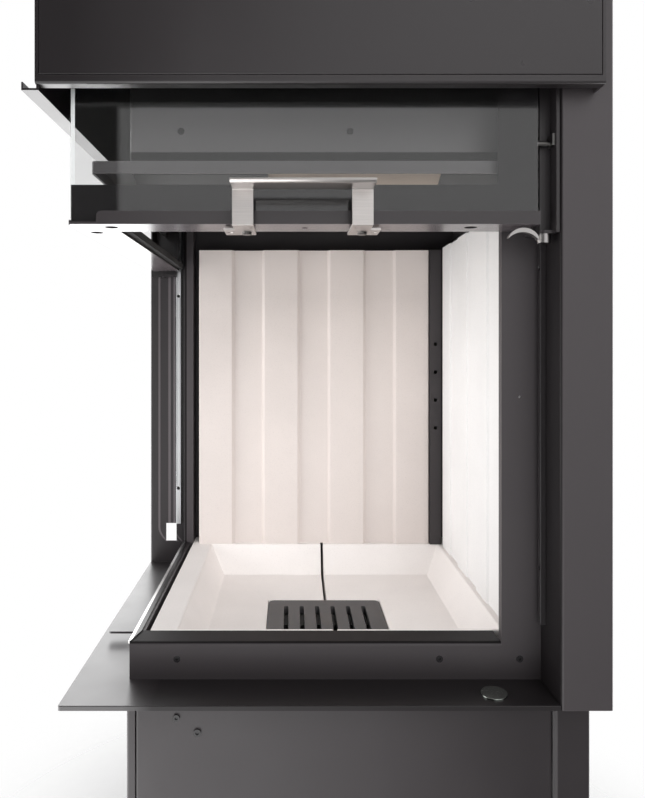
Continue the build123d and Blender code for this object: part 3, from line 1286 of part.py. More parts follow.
# Carriages: long brackets beside the door's ends that carry the rollers.
CARRIAGE_Z = (DOOR_BOTTOM - 8.5, CARRIAGE_TOP)
CARRIAGE_FOOT = (CARRIAGE_Z[0], CARRIAGE_Z[0] + WALL)
BAR_U = (2.0, 21.0)
BAR_V = (15.5, 18.5)
BRIDGE = 2.2
BRIDGE_U = (BAR_U[1], BAR_U[1] + BRIDGE)
WEB_U = (BRIDGE_U[1], 45.0)
WEB_V = (5.0, 8.0)
LUG_HALF = 4.0              # cable lug about the cable
LUG_INSET = 2.5
LUG_HEIGHT = 14.0
ROLLER_RADIUS = 9.5
ROLLER_U = RAIL_U[0] - ROLLER_RADIUS - RUNNING_FIT
ROLLER_V = (9.0, 15.0)
ROLLER_HEIGHTS = [DOOR_BOTTOM + 27.0, CARRIAGE_TOP - 30.0]
AXLE = 3.0
AXLE_END = 0.5
AXLE_COLLAR = 5.0
LEVER_U = 17.0              # release lever inward of the flange's edge
LEVER_V = 8.0               # and outward of the door's end
LEVER_EAR = 7.0

with BuildPart() as door_carriages:
    for end in ("right", "left"):
        end_slab(end, BAR_U, BAR_V, CARRIAGE_Z)
        end_slab(end, BRIDGE_U, (WEB_V[0], BAR_V[1]), CARRIAGE_Z)
        end_slab(end, WEB_U, WEB_V, CARRIAGE_Z)
        end_slab(
            end,
            (CABLE_U - LUG_HALF, CABLE_U + LUG_HALF),
            (CABLE_V - LUG_INSET, BAR_V[0]),
            (CARRIAGE_TOP - LUG_HEIGHT, CARRIAGE_TOP),
        )
        end_slab(end, WEB_U, (-WALL, WEB_V[0]), CARRIAGE_FOOT)
        if end == "right":
            end_slab(end, (LEVER_U - LEVER_EAR, BAR_U[1]), (LEVER_V, BAR_V[0]), CARRIAGE_FOOT)
            ear_spot = (DOOR_RIGHT + LEVER_V, FLANGE_FRONT + LEVER_U, CARRIAGE_FOOT[0])
            round_bar(ear_spot, UP, LEVER_EAR, WALL)
        for z in ROLLER_HEIGHTS:
            end_bar(end, ROLLER_U, WEB_V[1], z, AXLE, ROLLER_V[1] - WEB_V[1] + AXLE_END)
            end_bar(end, ROLLER_U, WEB_V[1], z, AXLE_COLLAR, ROLLER_V[0] - WEB_V[1] - FIT)
door_carriages.part.label = "door_carriages"
export_step(door_carriages.part, "parts/door_carriages.step")

with BuildPart() as door_rollers:
    for end in ("right", "left"):
        for z in ROLLER_HEIGHTS:
            width = ROLLER_V[1] - ROLLER_V[0]
            end_bar(end, ROLLER_U, ROLLER_V[0], z, ROLLER_RADIUS, width)
            end_bar(end, ROLLER_U, ROLLER_V[0], z, AXLE + FIT, width, Mode.SUBTRACT)
door_rollers.part.label = "door_rollers"
export_step(door_rollers.part, "parts/door_rollers.step")

# Handle: one bent strip of stainless steel under the door's lower edge.
HANDLE_CENTRE = -19.0
HANDLE_LENGTH = 138.0
HANDLE_SHEET = 2.5
HANDLE_TOP = DOOR_BOTTOM + 32.5
HANDLE_FRONT = FLANGE_FRONT - 49.0
HANDLE_REAR = FLANGE_FRONT - 17.0
GRIP_RISE = 2.0             # grip's upper edge above the strip
GRIP_BEND = 0.6
LEG_WIDTH = 20.8
LEG_OFFSET = (HANDLE_LENGTH - LEG_WIDTH) / 2
FOOT_GAP = 3.0
FOOT_Z = (DOOR_BOTTOM - FOOT_GAP - HANDLE_SHEET, DOOR_BOTTOM - FOOT_GAP)
FOOT_REAR = BOX_FRONT - 14.5
LUG_REACH = 11.0
LUG_DEPTH = 34.0
LUG_HOLE = 2.8
HANDLE_SCREW_Y = FOOT_REAR - 19.0
HANDLE_SCREWS = [
    HANDLE_CENTRE - LEG_OFFSET + 1.4,
    HANDLE_CENTRE + LEG_OFFSET + 3.4,
]
HANDLE_SHANK = 2.9
HANDLE_HEAD = 5.0
HANDLE_HEAD_HEIGHT = 2.5
SPACER = 8.0

with BuildPart() as door_handle:
    handle_x = (HANDLE_CENTRE - HANDLE_LENGTH / 2, HANDLE_CENTRE + HANDLE_LENGTH / 2)
    folded_sheet(
        Plane.YZ.offset(handle_x[0]),
        (
            (HANDLE_FRONT, HANDLE_TOP + GRIP_RISE),
            (HANDLE_FRONT, HANDLE_TOP - HANDLE_SHEET),
            (HANDLE_REAR, HANDLE_TOP - HANDLE_SHEET),
        ),
        HANDLE_SHEET,
        HANDLE_LENGTH,
        radius=HANDLE_SHEET + GRIP_BEND,
    )
    for side in (-1, 1):
        middle = HANDLE_CENTRE + side * LEG_OFFSET
        leg_x = (middle - LEG_WIDTH / 2, middle + LEG_WIDTH / 2)
        slab(leg_x, (HANDLE_REAR - HANDLE_SHEET, HANDLE_REAR), (FOOT_Z[0], HANDLE_TOP))
        slab(leg_x, (HANDLE_REAR, FOOT_REAR), FOOT_Z)
        if side < 0:
            lug_x = (leg_x[0] - LUG_REACH, leg_x[0])
        else:
            lug_x = (leg_x[1], leg_x[1] + LUG_REACH)
        slab(lug_x, (FOOT_REAR - LUG_DEPTH, FOOT_REAR), FOOT_Z)
        lug_spot = (sum(lug_x) / 2, FOOT_REAR - LUG_DEPTH / 2, FOOT_Z[0])
        round_bar(lug_spot, UP, LUG_HOLE, HANDLE_SHEET, Mode.SUBTRACT)
    for x in HANDLE_SCREWS:
        screw_spot = (x, HANDLE_SCREW_Y, FOOT_Z[0])
        round_bar(screw_spot, UP, HANDLE_SHANK + PLAY, HANDLE_SHEET, Mode.SUBTRACT)
door_handle.part.label = "door_handle"
export_step(door_handle.part, "parts/door_handle.step")

# Screws of the handle with their spacers, and the pins that tie the door's ends
# to the carriages.
PIN = 2.7
PIN_U = 15.5
PIN_HEIGHTS = [DOOR_BOTTOM + 83.4, DOOR_TOP - 85.0]
PAD_U = (5.0, 19.0)
PAD = 3.0
PAD_Z = (-4.0, 8.0)         # pad below and above its pin

with BuildPart() as door_fasteners:
    for x in HANDLE_SCREWS:
        ring((x, HANDLE_SCREW_Y, FOOT_Z[1]), UP, SPACER, HANDLE_SHANK, FOOT_GAP)
        head_spot = (x, HANDLE_SCREW_Y, FOOT_Z[0] - HANDLE_HEAD_HEIGHT)
        grip = HANDLE_HEAD_HEIGHT + HANDLE_SHEET + FOOT_GAP
        round_bar(head_spot, UP, HANDLE_SHANK, grip)
        round_bar(head_spot, UP, HANDLE_HEAD, HANDLE_HEAD_HEIGHT)
    for end in ("right", "left"):
        for z in PIN_HEIGHTS:
            end_bar(end, PIN_U, 0.0, z, PIN, BAR_V[0])
            end_slab(end, PAD_U, (BAR_V[0] - PAD, BAR_V[0]), (z + PAD_Z[0], z + PAD_Z[1]))
door_fasteners.part.label = "door_fasteners"
export_step(door_fasteners.part, "parts/door_fasteners.step")

SEAL_Z = (TRAY_TOP + CLEAR, TRAY_TOP + 8.5)
SEAL_GAP_LEFT = 2.0
SEAL_ROUND = 1.2

with BuildPart() as door_seals:
    slab((SIDE_TRAY_INNER + WALL, DOOR_RIGHT - WALL), (TRAY_BACK, BOX_FRONT - CLEAR), SEAL_Z)
    slab((SIDE_TRAY_INNER, BOX_LEFT - SEAL_GAP_LEFT), (BOX_FRONT, DOOR_REAR - WALL), SEAL_Z)
    fillet(door_seals.edges().filter_by(Axis.X).group_by(Axis.Y)[0], SEAL_ROUND)
door_seals.part.label = "door_seals"
export_step(door_seals.part, "parts/door_seals.step")

# Lever that turns under the door's right end to release it for cleaning.
LEVER_X = DOOR_RIGHT + LEVER_V
LEVER_Y = FLANGE_FRONT + LEVER_U
LEVER_TOP = CARRIAGE_Z[0] - FIT
LEVER_HUB = 6.8
LEVER_HUB_HEIGHT = 9.2
LEVER_ARM_DROP = 2.7        # arm's ends under the hub's upper face
LEVER_REACH = 37.0
LEVER_WIDTH = 7.0
LEVER_RISE = 9.0            # crown of the arched arm over its ends
LEVER_ROOT = 3.5            # thickness of the arm at the hub, crown and tip
LEVER_CROWN = 4.5
LEVER_TIP = 1.5

with BuildPart() as lock_lever:
    round_bar((LEVER_X, LEVER_Y, LEVER_TOP - LEVER_HUB_HEIGHT), UP, LEVER_HUB, LEVER_HUB_HEIGHT)
    root_x = LEVER_X - LEVER_HUB + CLEAR
    tip_x = LEVER_X - LEVER_REACH
    crown_x = (root_x + tip_x) / 2
    foot_z = LEVER_TOP - LEVER_ARM_DROP
    crown_z = foot_z + LEVER_RISE
    with BuildSketch(Plane.XZ.offset(-(LEVER_Y + LEVER_WIDTH / 2))) as arch:
        with BuildLine():
            ThreePointArc((tip_x, foot_z), (crown_x, crown_z), (root_x, foot_z))
            Line((root_x, foot_z), (root_x, foot_z - LEVER_ROOT))
            ThreePointArc(
                (root_x, foot_z - LEVER_ROOT),
                (crown_x, crown_z - LEVER_CROWN),
                (tip_x, foot_z - LEVER_TIP),
            )
            Line((tip_x, foot_z - LEVER_TIP), (tip_x, foot_z))
        make_face()
    extrude(arch.sketch, amount=LEVER_WIDTH)
lock_lever.part.label = "lock_lever"
export_step(lock_lever.part, "parts/lock_lever.step")

# ================================================================= details ==
BADGE_SPOT = (POST_X - 59.8, FLANGE_FRONT + 26.0)
BADGE_AXES = (13.7, 15.5)
BADGE_TURN = -20.0
BADGE_THICKNESS = 1.4
BADGE_EDGE = 0.5
SCREW_LENGTH = 9.0

with BuildPart() as badge_plate:
    with BuildSketch(Plane((*BADGE_SPOT, FLANGE_TOP))) as oval:
        Ellipse(*BADGE_AXES, rotation=BADGE_TURN)
    extrude(oval.sketch, amount=BADGE_THICKNESS)
    fillet(badge_plate.faces().sort_by(Axis.Z)[-1].edges(), BADGE_EDGE)
badge_plate.part.label = "badge_plate"
export_step(badge_plate.part, "parts/badge_plate.step")

with BuildPart() as housing_screws:
    for x, z in SILL_SCREWS + HEADER_SCREWS:
        countersunk_screw(
            (x, BOX_FRONT, z),
            BACK,
            SCREW_HEAD - PLAY,
            SCREW_SINK - PLAY,
            SCREW_SHANK - PLAY / 2,
            SCREW_LENGTH,
        )
    for x, z, radius in COVER_BOLTS:
        cap_screw((x, BASE_FRONT, z), BACK, radius, BOLT_HEAD, BOLT_SHANK, BOLT_LENGTH)
housing_screws.part.label = "housing_screws"
export_step(housing_screws.part, "parts/housing_screws.step")
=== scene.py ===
import math

import bmesh
import bpy
from mathutils import Matrix, Vector


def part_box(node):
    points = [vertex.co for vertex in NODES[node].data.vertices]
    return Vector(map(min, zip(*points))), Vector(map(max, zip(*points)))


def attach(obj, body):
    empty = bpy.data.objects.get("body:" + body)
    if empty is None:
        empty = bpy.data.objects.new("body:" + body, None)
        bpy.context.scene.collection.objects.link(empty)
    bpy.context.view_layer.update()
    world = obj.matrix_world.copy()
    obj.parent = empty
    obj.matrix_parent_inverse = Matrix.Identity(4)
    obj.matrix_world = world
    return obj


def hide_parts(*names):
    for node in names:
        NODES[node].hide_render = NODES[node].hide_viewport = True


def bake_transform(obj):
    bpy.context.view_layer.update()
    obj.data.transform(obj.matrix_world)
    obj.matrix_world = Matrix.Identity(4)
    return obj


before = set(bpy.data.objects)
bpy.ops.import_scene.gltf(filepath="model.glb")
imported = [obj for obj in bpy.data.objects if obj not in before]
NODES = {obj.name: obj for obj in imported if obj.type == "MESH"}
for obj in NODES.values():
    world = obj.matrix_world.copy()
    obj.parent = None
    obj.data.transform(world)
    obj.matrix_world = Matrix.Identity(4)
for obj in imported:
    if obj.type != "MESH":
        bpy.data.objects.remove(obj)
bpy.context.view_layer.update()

scene = bpy.context.scene

# ------------------------------------------------------------------ camera --
# The photograph is a one-point view straight along +Y. Its vanishing point lies left of
# and above the middle of the picture.
EYE = (-0.031, -0.997, 0.740)
FOCAL = 740.0               # px
PICTURE_HEIGHT = 798.0      # px, the longer side
VANISHING_LEFT = 32.0       # px from the middle
VANISHING_ABOVE = 53.0
SENSOR = 36.0               # mm
CLIP_START = 0.01

camera_data = bpy.data.cameras.new("camera")
camera = bpy.data.objects.new("camera", camera_data)
scene.collection.objects.link(camera)
camera.location = EYE
camera.rotation_euler = (math.pi / 2, 0.0, 0.0)
camera_data.sensor_width = SENSOR
camera_data.lens = FOCAL / PICTURE_HEIGHT * SENSOR
camera_data.shift_x = VANISHING_LEFT / PICTURE_HEIGHT
camera_data.shift_y = -VANISHING_ABOVE / PICTURE_HEIGHT
camera_data.clip_start = CLIP_START
scene.camera = camera

# ----------------------------------------------------------------- shaders --
MATT_SPECULAR = 0.1
EDGE_BEND = (0.98, 0.80)    # cosines between which an edge begins to lighten and is fully lightened, as wear and painted highlight


class NodeTree:
    """A node tree with short calls for nodes, links and arithmetic."""

    def __init__(self, tree):
        self.tree = tree
        self.tree.nodes.clear()

    def node(self, kind, **values):
        made = self.tree.nodes.new(kind)
        for key, value in values.items():
            setattr(made, key, value)
        return made

    def link(self, a, b):
        self.tree.links.new(a, b)

    def ramp(self, value, low, high, a=0.0, b=1.0):
        """a below low and b above high; the other way round where low is the larger."""
        made = self.node("ShaderNodeMapRange")
        made.inputs["From Min"].default_value = low
        made.inputs["From Max"].default_value = high
        made.inputs["To Min"].default_value = a
        made.inputs["To Max"].default_value = b
        self.link(value, made.inputs["Value"])
        return made.outputs[0]

    def math(self, operation, a, b):
        made = self.node("ShaderNodeMath", operation=operation)
        for socket, value in zip(made.inputs, (a, b)):
            if isinstance(value, (int, float)):
                socket.default_value = value
            else:
                self.link(value, socket)
        return made.outputs[0]

    def mix_shaders(self, factor, a, b):
        made = self.node("ShaderNodeMixShader")
        for socket, value in zip(made.inputs, (factor, a, b)):
            self.link(value, socket)
        return made.outputs[0]


class Shader(NodeTree):
    """A Principled material with helpers for procedural detail."""

    def __init__(self, name, rough=0.5, metal=0.0, specular=0.5):
        self.material = bpy.data.materials.new(name)
        self.material.use_nodes = True
        super().__init__(self.material.node_tree)
        self.output = self.node("ShaderNodeOutputMaterial")
        self.bsdf = self.node("ShaderNodeBsdfPrincipled")
        self.link(self.bsdf.outputs[0], self.output.inputs[0])
        self.bsdf.inputs["Roughness"].default_value = rough
        self.bsdf.inputs["Metallic"].default_value = metal
        self.bsdf.inputs["Specular IOR Level"].default_value = specular
        self.coordinates = self.node("ShaderNodeTexCoord").outputs["Object"]

    def noise(self, scale, detail, rough, stretch=(1, 1, 1)):
        mapping = self.node("ShaderNodeMapping")
        mapping.inputs["Scale"].default_value = stretch
        self.link(self.coordinates, mapping.inputs["Vector"])
        made = self.node("ShaderNodeTexNoise")
        made.inputs["Scale"].default_value = scale
        made.inputs["Detail"].default_value = detail
        made.inputs["Roughness"].default_value = rough
        self.link(mapping.outputs[0], made.inputs["Vector"])
        return made.outputs["Fac"]

    def bands(self, scale, distortion=0.0, detail=2.0):
        made = self.node(
            "ShaderNodeTexWave", wave_type="BANDS", bands_direction="DIAGONAL"
        )
        made.inputs["Scale"].default_value = scale
        made.inputs["Distortion"].default_value = distortion
        made.inputs["Detail"].default_value = detail
        self.link(self.coordinates, made.inputs["Vector"])
        return made.outputs["Fac"]

    def mix(self, factor, a, b):
        made = self.node("ShaderNodeMix", data_type="RGBA", blend_type="MIX")
        self.link(factor, made.inputs[0])
        for socket, value in ((made.inputs[6], a), (made.inputs[7], b)):
            if isinstance(value, tuple):
                socket.default_value = (*value, 1.0)
            else:
                self.link(value, socket)
        return made.outputs[2]

    def colour(self, value):
        if isinstance(value, tuple):
            self.bsdf.inputs["Base Color"].default_value = (*value, 1.0)
        else:
            self.link(value, self.bsdf.inputs["Base Color"])

    def roughness(self, value):
        self.link(value, self.bsdf.inputs["Roughness"])

    def bump(self, height, strength, distance):
        made = self.node("ShaderNodeBump")
        made.inputs["Strength"].default_value = strength
        made.inputs["Distance"].default_value = distance
        self.link(height, made.inputs["Height"])
        normal = self.bsdf.inputs["Normal"]
        if normal.is_linked:
            self.link(normal.links[0].from_socket, made.inputs["Normal"])
        self.link(made.outputs[0], normal)

    def place(self, axis):
        """Object coordinate along one axis; at rest these are the model's own metres."""
        split = self.node("ShaderNodeSeparateXYZ")
        self.link(self.coordinates, split.inputs[0])
        return split.outputs[axis]

    def facing(self, axis):
        """Component of the surface normal along one axis."""
        split = self.node("ShaderNodeSeparateXYZ")
        self.link(self.node("ShaderNodeNewGeometry").outputs["Normal"], split.inputs[0])
        return split.outputs[axis]

    def dull(self, mask, colour, base, specular):
        """Matt dark colour where the mask is 1, the base colour where it is 0."""
        level = self.ramp(mask, 0.0, 1.0, specular, MATT_SPECULAR)
        self.link(level, self.bsdf.inputs["Specular IOR Level"])
        return self.mix(mask, base, colour)

    def edge_wear_and_highlight(self, reach):
        """0 on flat stretches, rising to 1 on outer edges within a reach."""
        smooth = self.node("ShaderNodeBevel", samples=4)
        smooth.inputs["Radius"].default_value = reach
        plain = self.node("ShaderNodeNewGeometry")
        dot = self.node("ShaderNodeVectorMath", operation="DOT_PRODUCT")
        self.link(smooth.outputs[0], dot.inputs[0])
        self.link(plain.outputs["Normal"], dot.inputs[1])
        return self.ramp(dot.outputs["Value"], *EDGE_BEND)


def scaled(colour, factor):
    return tuple(channel * factor for channel in colour)


# ------------------------------------------------------------------- masks --
# A mask is a function of a shader that gives 0 to 1 over the surface.
def along(axis, low, high, full=1.0):
    """0 at low, full at high, by place."""
    return lambda s: s.ramp(s.place(axis), low, high, 0.0, full)


def faces(axis, low, high):
    """0 at low, 1 at high, by the surface's direction."""
    return lambda s: s.ramp(s.facing(axis), low, high)


def both(a, b):
    return lambda s: s.math("MULTIPLY", a(s), b(s))


def either(a, b):
    return lambda s: s.math("MAXIMUM", a(s), b(s))


left_side = faces("X", -0.3, -0.6)
top_side = faces("Z", 0.4, 0.7)
under_side = faces("Z", -0.2, -0.6)
front_side = faces("Y", -0.3, -0.6)

# Painted shade on the header: a strip at its folded lower edge, and its top, which lies in the
# shadow under the hood.
header_painted_shade = either(along("Z", 0.9498, 0.9488), along("Z", 0.9970, 0.9985))
jamb_shadow = along("X", -0.1997, -0.2003)
# Painted dark reflection on the trim's inner part, which mirrors the dark interior.
trim_inside = along("X", -0.2031, -0.2025)
rail_low, rail_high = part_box("guide_rails")
rails_middle = (rail_low.x + rail_high.x) / 2
# Painted dark reflection on the right rail, which mirrors dark surroundings.
right_rail = along("X", rails_middle - 0.001, rails_middle + 0.001)
# Stretches where the photograph's light falls off.
base_right = along("X", 0.06, 0.22, full=0.5)
hood_left = both(along("X", -0.12, -0.24, full=0.5), front_side)
flange_right = along("X", -0.20, -0.17, full=0.75)
front_foot = both(along("Z", 0.408, 0.384, full=0.45), front_side)
frame_shade = either(top_side, front_foot)
# Painted shade on the handle's undersides, and a painted dark reflection on the grip's upright
# face.
handle_grip = both(along("Z", 0.8940, 0.8950, full=0.74), faces("Y", -0.3, -0.7))
handle_shade = either(under_side, handle_grip)
# Painted light: the top of the back lining painted lighter.
lining_head = along("Z", 0.82, 0.89)

# Painted highlights along the left post, where two pressed beads and an edge catch the light:
# middle and half width.
BEAD_HIGHLIGHTS = ((-0.2500, 0.0016), (-0.2330, 0.0020), (-0.2250, 0.0014))
BEAD_FOOT = (0.4130, 0.4150)
CURL_TOP = 0.438            # under this height the beads curl inwards
CURL = 23.0


def post_bead_highlights(s):
    height = s.place("Z")
    drop = s.math("MAXIMUM", s.math("SUBTRACT", CURL_TOP, height), 0.0)
    curl = s.math("MULTIPLY", s.math("POWER", drop, 2.0), CURL)
    across = s.math("SUBTRACT", s.place("X"), curl)
    found = None
    for middle, half in BEAD_HIGHLIGHTS:
        bead = s.math("COMPARE", across, middle)
        bead.node.inputs[2].default_value = half
        found = bead if found is None else s.math("MAXIMUM", found, bead)
    return s.math("MULTIPLY", found, s.ramp(height, *BEAD_FOOT))


# --------------------------------------------------------------- materials --
FINE_GRAIN = 1100.0         # scale of the grain in paint and enamel
CLOUDING = 0.10
EDGE_WEAR_AND_HIGHLIGHT = 0.0008
BRUSHED = 900.0             # scale across and along the brushing of steel
BRUSHED_ALONG = 14.0
BRUSHED_CONTRAST = 0.16
STEEL_SHADE = 0.62
PAINTED_DARK_REFLECTION = (0.016, 0.014, 0.015)
RUST = (0.10, 0.075, 0.06)
PAINTED_LIGHT_FACTOR = 1.2
GLASS_COLOUR = (0.05, 0.05, 0.048)
GLASS_ALPHA = 0.09          # of each of a pane's two faces
GLASS_IOR = 2.8


def stove_paint(name, colour, rough, shade=None, shaded=0.25, specular=0.5):
    """Heat-resistant graphite paint: fine grain, faint clouding, a satin sheen, and edges
    lightened partly as wear and partly as painted highlight.

    A shade is a mask of painted light and shade; where it is 1 the colour is multiplied by
    shaded, lighter above 1 and darker below, and a darker place is matt as well.
    """
    s = Shader(name, rough, specular=specular)
    cloud = s.noise(2.2, detail=3.0, rough=0.5)
    grain = s.noise(FINE_GRAIN, detail=2.0, rough=0.6)
    broad = s.mix(cloud, scaled(colour, 1.0 - CLOUDING), scaled(colour, 1.0 + CLOUDING))
    flecked = s.mix(s.ramp(grain, 0.35, 0.7, 0.0, 0.10), broad, scaled(colour, 1.9))
    # Edges lightened: paint worn thin there, and a painted highlight where edges catch the
    # light.
    final = s.mix(s.edge_wear_and_highlight(EDGE_WEAR_AND_HIGHLIGHT), flecked, scaled(colour, 2.6))
    if shade and shaded < 1:
        final = s.dull(shade(s), scaled(colour, shaded), final, specular)
    elif shade:
        final = s.mix(shade(s), final, scaled(colour, shaded))
    s.colour(final)
    uneven = s.noise(9.0, detail=5.0, rough=0.6)
    s.roughness(s.ramp(uneven, 0.3, 0.7, rough - 0.04, rough + 0.05))
    s.bump(grain, 0.05, 0.0001)
    s.bump(s.noise(160.0, detail=3.0, rough=0.5), 0.03, 0.0002)
    return s


def bare_steel(name, colour, rough, brushed, shade=None):
    """Bare or stainless sheet with fine brushing along one axis."""
    s = Shader(name, rough, metal=1.0)
    stretch = tuple(BRUSHED_ALONG if axis == brushed else BRUSHED for axis in "XYZ")
    lines = s.noise(1.0, detail=6.0, rough=0.7, stretch=stretch)
    smear = s.noise(14.0, detail=4.0, rough=0.6)
    dark_lines = scaled(colour, 1 - BRUSHED_CONTRAST)
    base = s.mix(s.ramp(lines, 0.3, 0.7), dark_lines, colour)
    final = s.mix(s.ramp(smear, 0.35, 0.75, 0.0, 0.25), base, scaled(colour, 0.8))
    if shade:
        final = s.mix(shade(s), final, scaled(colour, STEEL_SHADE))
    s.colour(final)
    s.roughness(s.ramp(lines, 0.25, 0.75, rough - 0.06, rough + 0.1))
    s.bump(lines, 0.08, 0.0001)
    return s


def steel_with_painted_dark_reflection(s, mask):
    """Bright steel that turns black where the mask is 1: a painted dark reflection where the
    steel mirrors dark surroundings.
    """
    dark_reflection = mask(s)
    steel = s.bsdf.inputs["Base Color"].links[0].from_socket
    s.colour(s.mix(dark_reflection, steel, PAINTED_DARK_REFLECTION))
    s.link(s.ramp(dark_reflection, 0.0, 1.0, 1.0, 0.0), s.bsdf.inputs["Metallic"])
    return s


def fireclay(name, colour, painted_light=None):
    """Cast refractory slab: chalky cream with speckle, faint clouds, and pores painted as dark
    spots of shade.

    Painted light is a mask; where it is 1 the slab is painted lighter, as if more light falls
    there.
    """
    s = Shader(name, 0.86, specular=0.25)
    cloud = s.noise(6.0, detail=5.0, rough=0.55)
    speckle = s.noise(700.0, detail=3.0, rough=0.65)
    pores = s.node("ShaderNodeTexVoronoi")
    pores.inputs["Scale"].default_value = 260.0
    s.link(s.coordinates, pores.inputs["Vector"])
    # Painted shade: pores drawn as darker spots, the shade inside small holes.
    pore_shade = s.ramp(pores.outputs["Distance"], 0.0, 0.16, 0.28, 0.0)
    base = s.mix(s.ramp(cloud, 0.3, 0.7), scaled(colour, 0.95), scaled(colour, 1.03))
    base = s.mix(s.ramp(speckle, 0.55, 0.75, 0.0, 0.35), base, scaled(colour, 0.72))
    base = s.mix(pore_shade, base, scaled(colour, 0.5))
    if painted_light:
        base = s.mix(painted_light(s), base, scaled(colour, PAINTED_LIGHT_FACTOR))
    s.colour(base)
    s.bump(speckle, 0.25, 0.0004)
    s.bump(cloud, 0.12, 0.002)
    return s


def cast_iron(name, colour):
    """Sand-cast iron: coarse dark grain with a faint rusty tint."""
    s = Shader(name, 0.55, specular=0.6)
    grain = s.noise(420.0, detail=5.0, rough=0.65)
    tint = s.noise(24.0, detail=4.0, rough=0.6)
    base = s.mix(s.ramp(grain, 0.3, 0.7), scaled(colour, 0.6), scaled(colour, 1.5))
    s.colour(s.mix(s.ramp(tint, 0.5, 0.8, 0.0, 0.3), base, RUST))
    s.roughness(s.ramp(grain, 0.3, 0.7, 0.45, 0.68))
    s.bump(grain, 0.35, 0.0005)
    return s


def pane_glass(name):
    """Clear ceramic glass: each face lets most light through and mirrors some."""
    s = Shader(name, 0.015, specular=1.0)
    s.colour(GLASS_COLOUR)
    s.bsdf.inputs["Alpha"].default_value = GLASS_ALPHA
    s.bsdf.inputs["IOR"].default_value = GLASS_IOR
    s.bump(s.noise(2.0, detail=2.0, rough=0.5), 0.02, 0.0015)
    return s


def plastic(name, colour, rough=0.5):
    s = Shader(name, rough)
    grain = s.noise(900.0, detail=3.0, rough=0.5)
    s.colour(s.mix(s.ramp(grain, 0.3, 0.7), scaled(colour, 0.85), scaled(colour, 1.2)))
    s.bump(grain, 0.15, 0.0002)
    return s


def fibre_rope(name, colour):
    """Knitted glass-fibre rope."""
    s = Shader(name, 0.9, specular=0.2)
    knit = s.bands(260.0, distortion=4.0)
    # Painted shade and highlight: the knit's grooves darker and its loops lighter.
    s.colour(s.mix(knit, scaled(colour, 0.5), scaled(colour, 1.6)))
    s.bump(knit, 0.6, 0.0008)
    return s


def wire_rope(name, colour):
    """Stranded steel cable."""
    s = Shader(name, 0.4, metal=1.0)
    lay = s.bands(420.0)
    # Painted shade: the grooves between the strands darker.
    s.colour(s.mix(lay, scaled(colour, 0.35), colour))
    s.bump(lay, 0.8, 0.0004)
    return s


def printed_enamel(name):
    """Black enamel printed on the inside of the panes."""
    s = Shader(name, 0.6, specular=0.05)
    grain = s.noise(FINE_GRAIN, detail=2.0, rough=0.5)
    s.colour(s.mix(grain, (0.006, 0.0055, 0.006), (0.012, 0.011, 0.012)))
    s.roughness(s.ramp(grain, 0.3, 0.7, 0.5, 0.65))
    return s


def lit_pane_edge(name):
    s = Shader(name, 0.7)
    grain = s.noise(800.0, detail=3.0, rough=0.6)
    s.colour(s.mix(grain, (0.72, 0.74, 0.74), (0.90, 0.91, 0.91)))
    return s


GRAPHITE = (0.0265, 0.0230, 0.0245)


# All graphite parts are one paint; each part's tone is painted light and shade, set lighter or
# darker as light falls on that part.
def graphite_paint(name, tone, rough, **more):
    return stove_paint(name, scaled(GRAPHITE, tone), rough, **more)


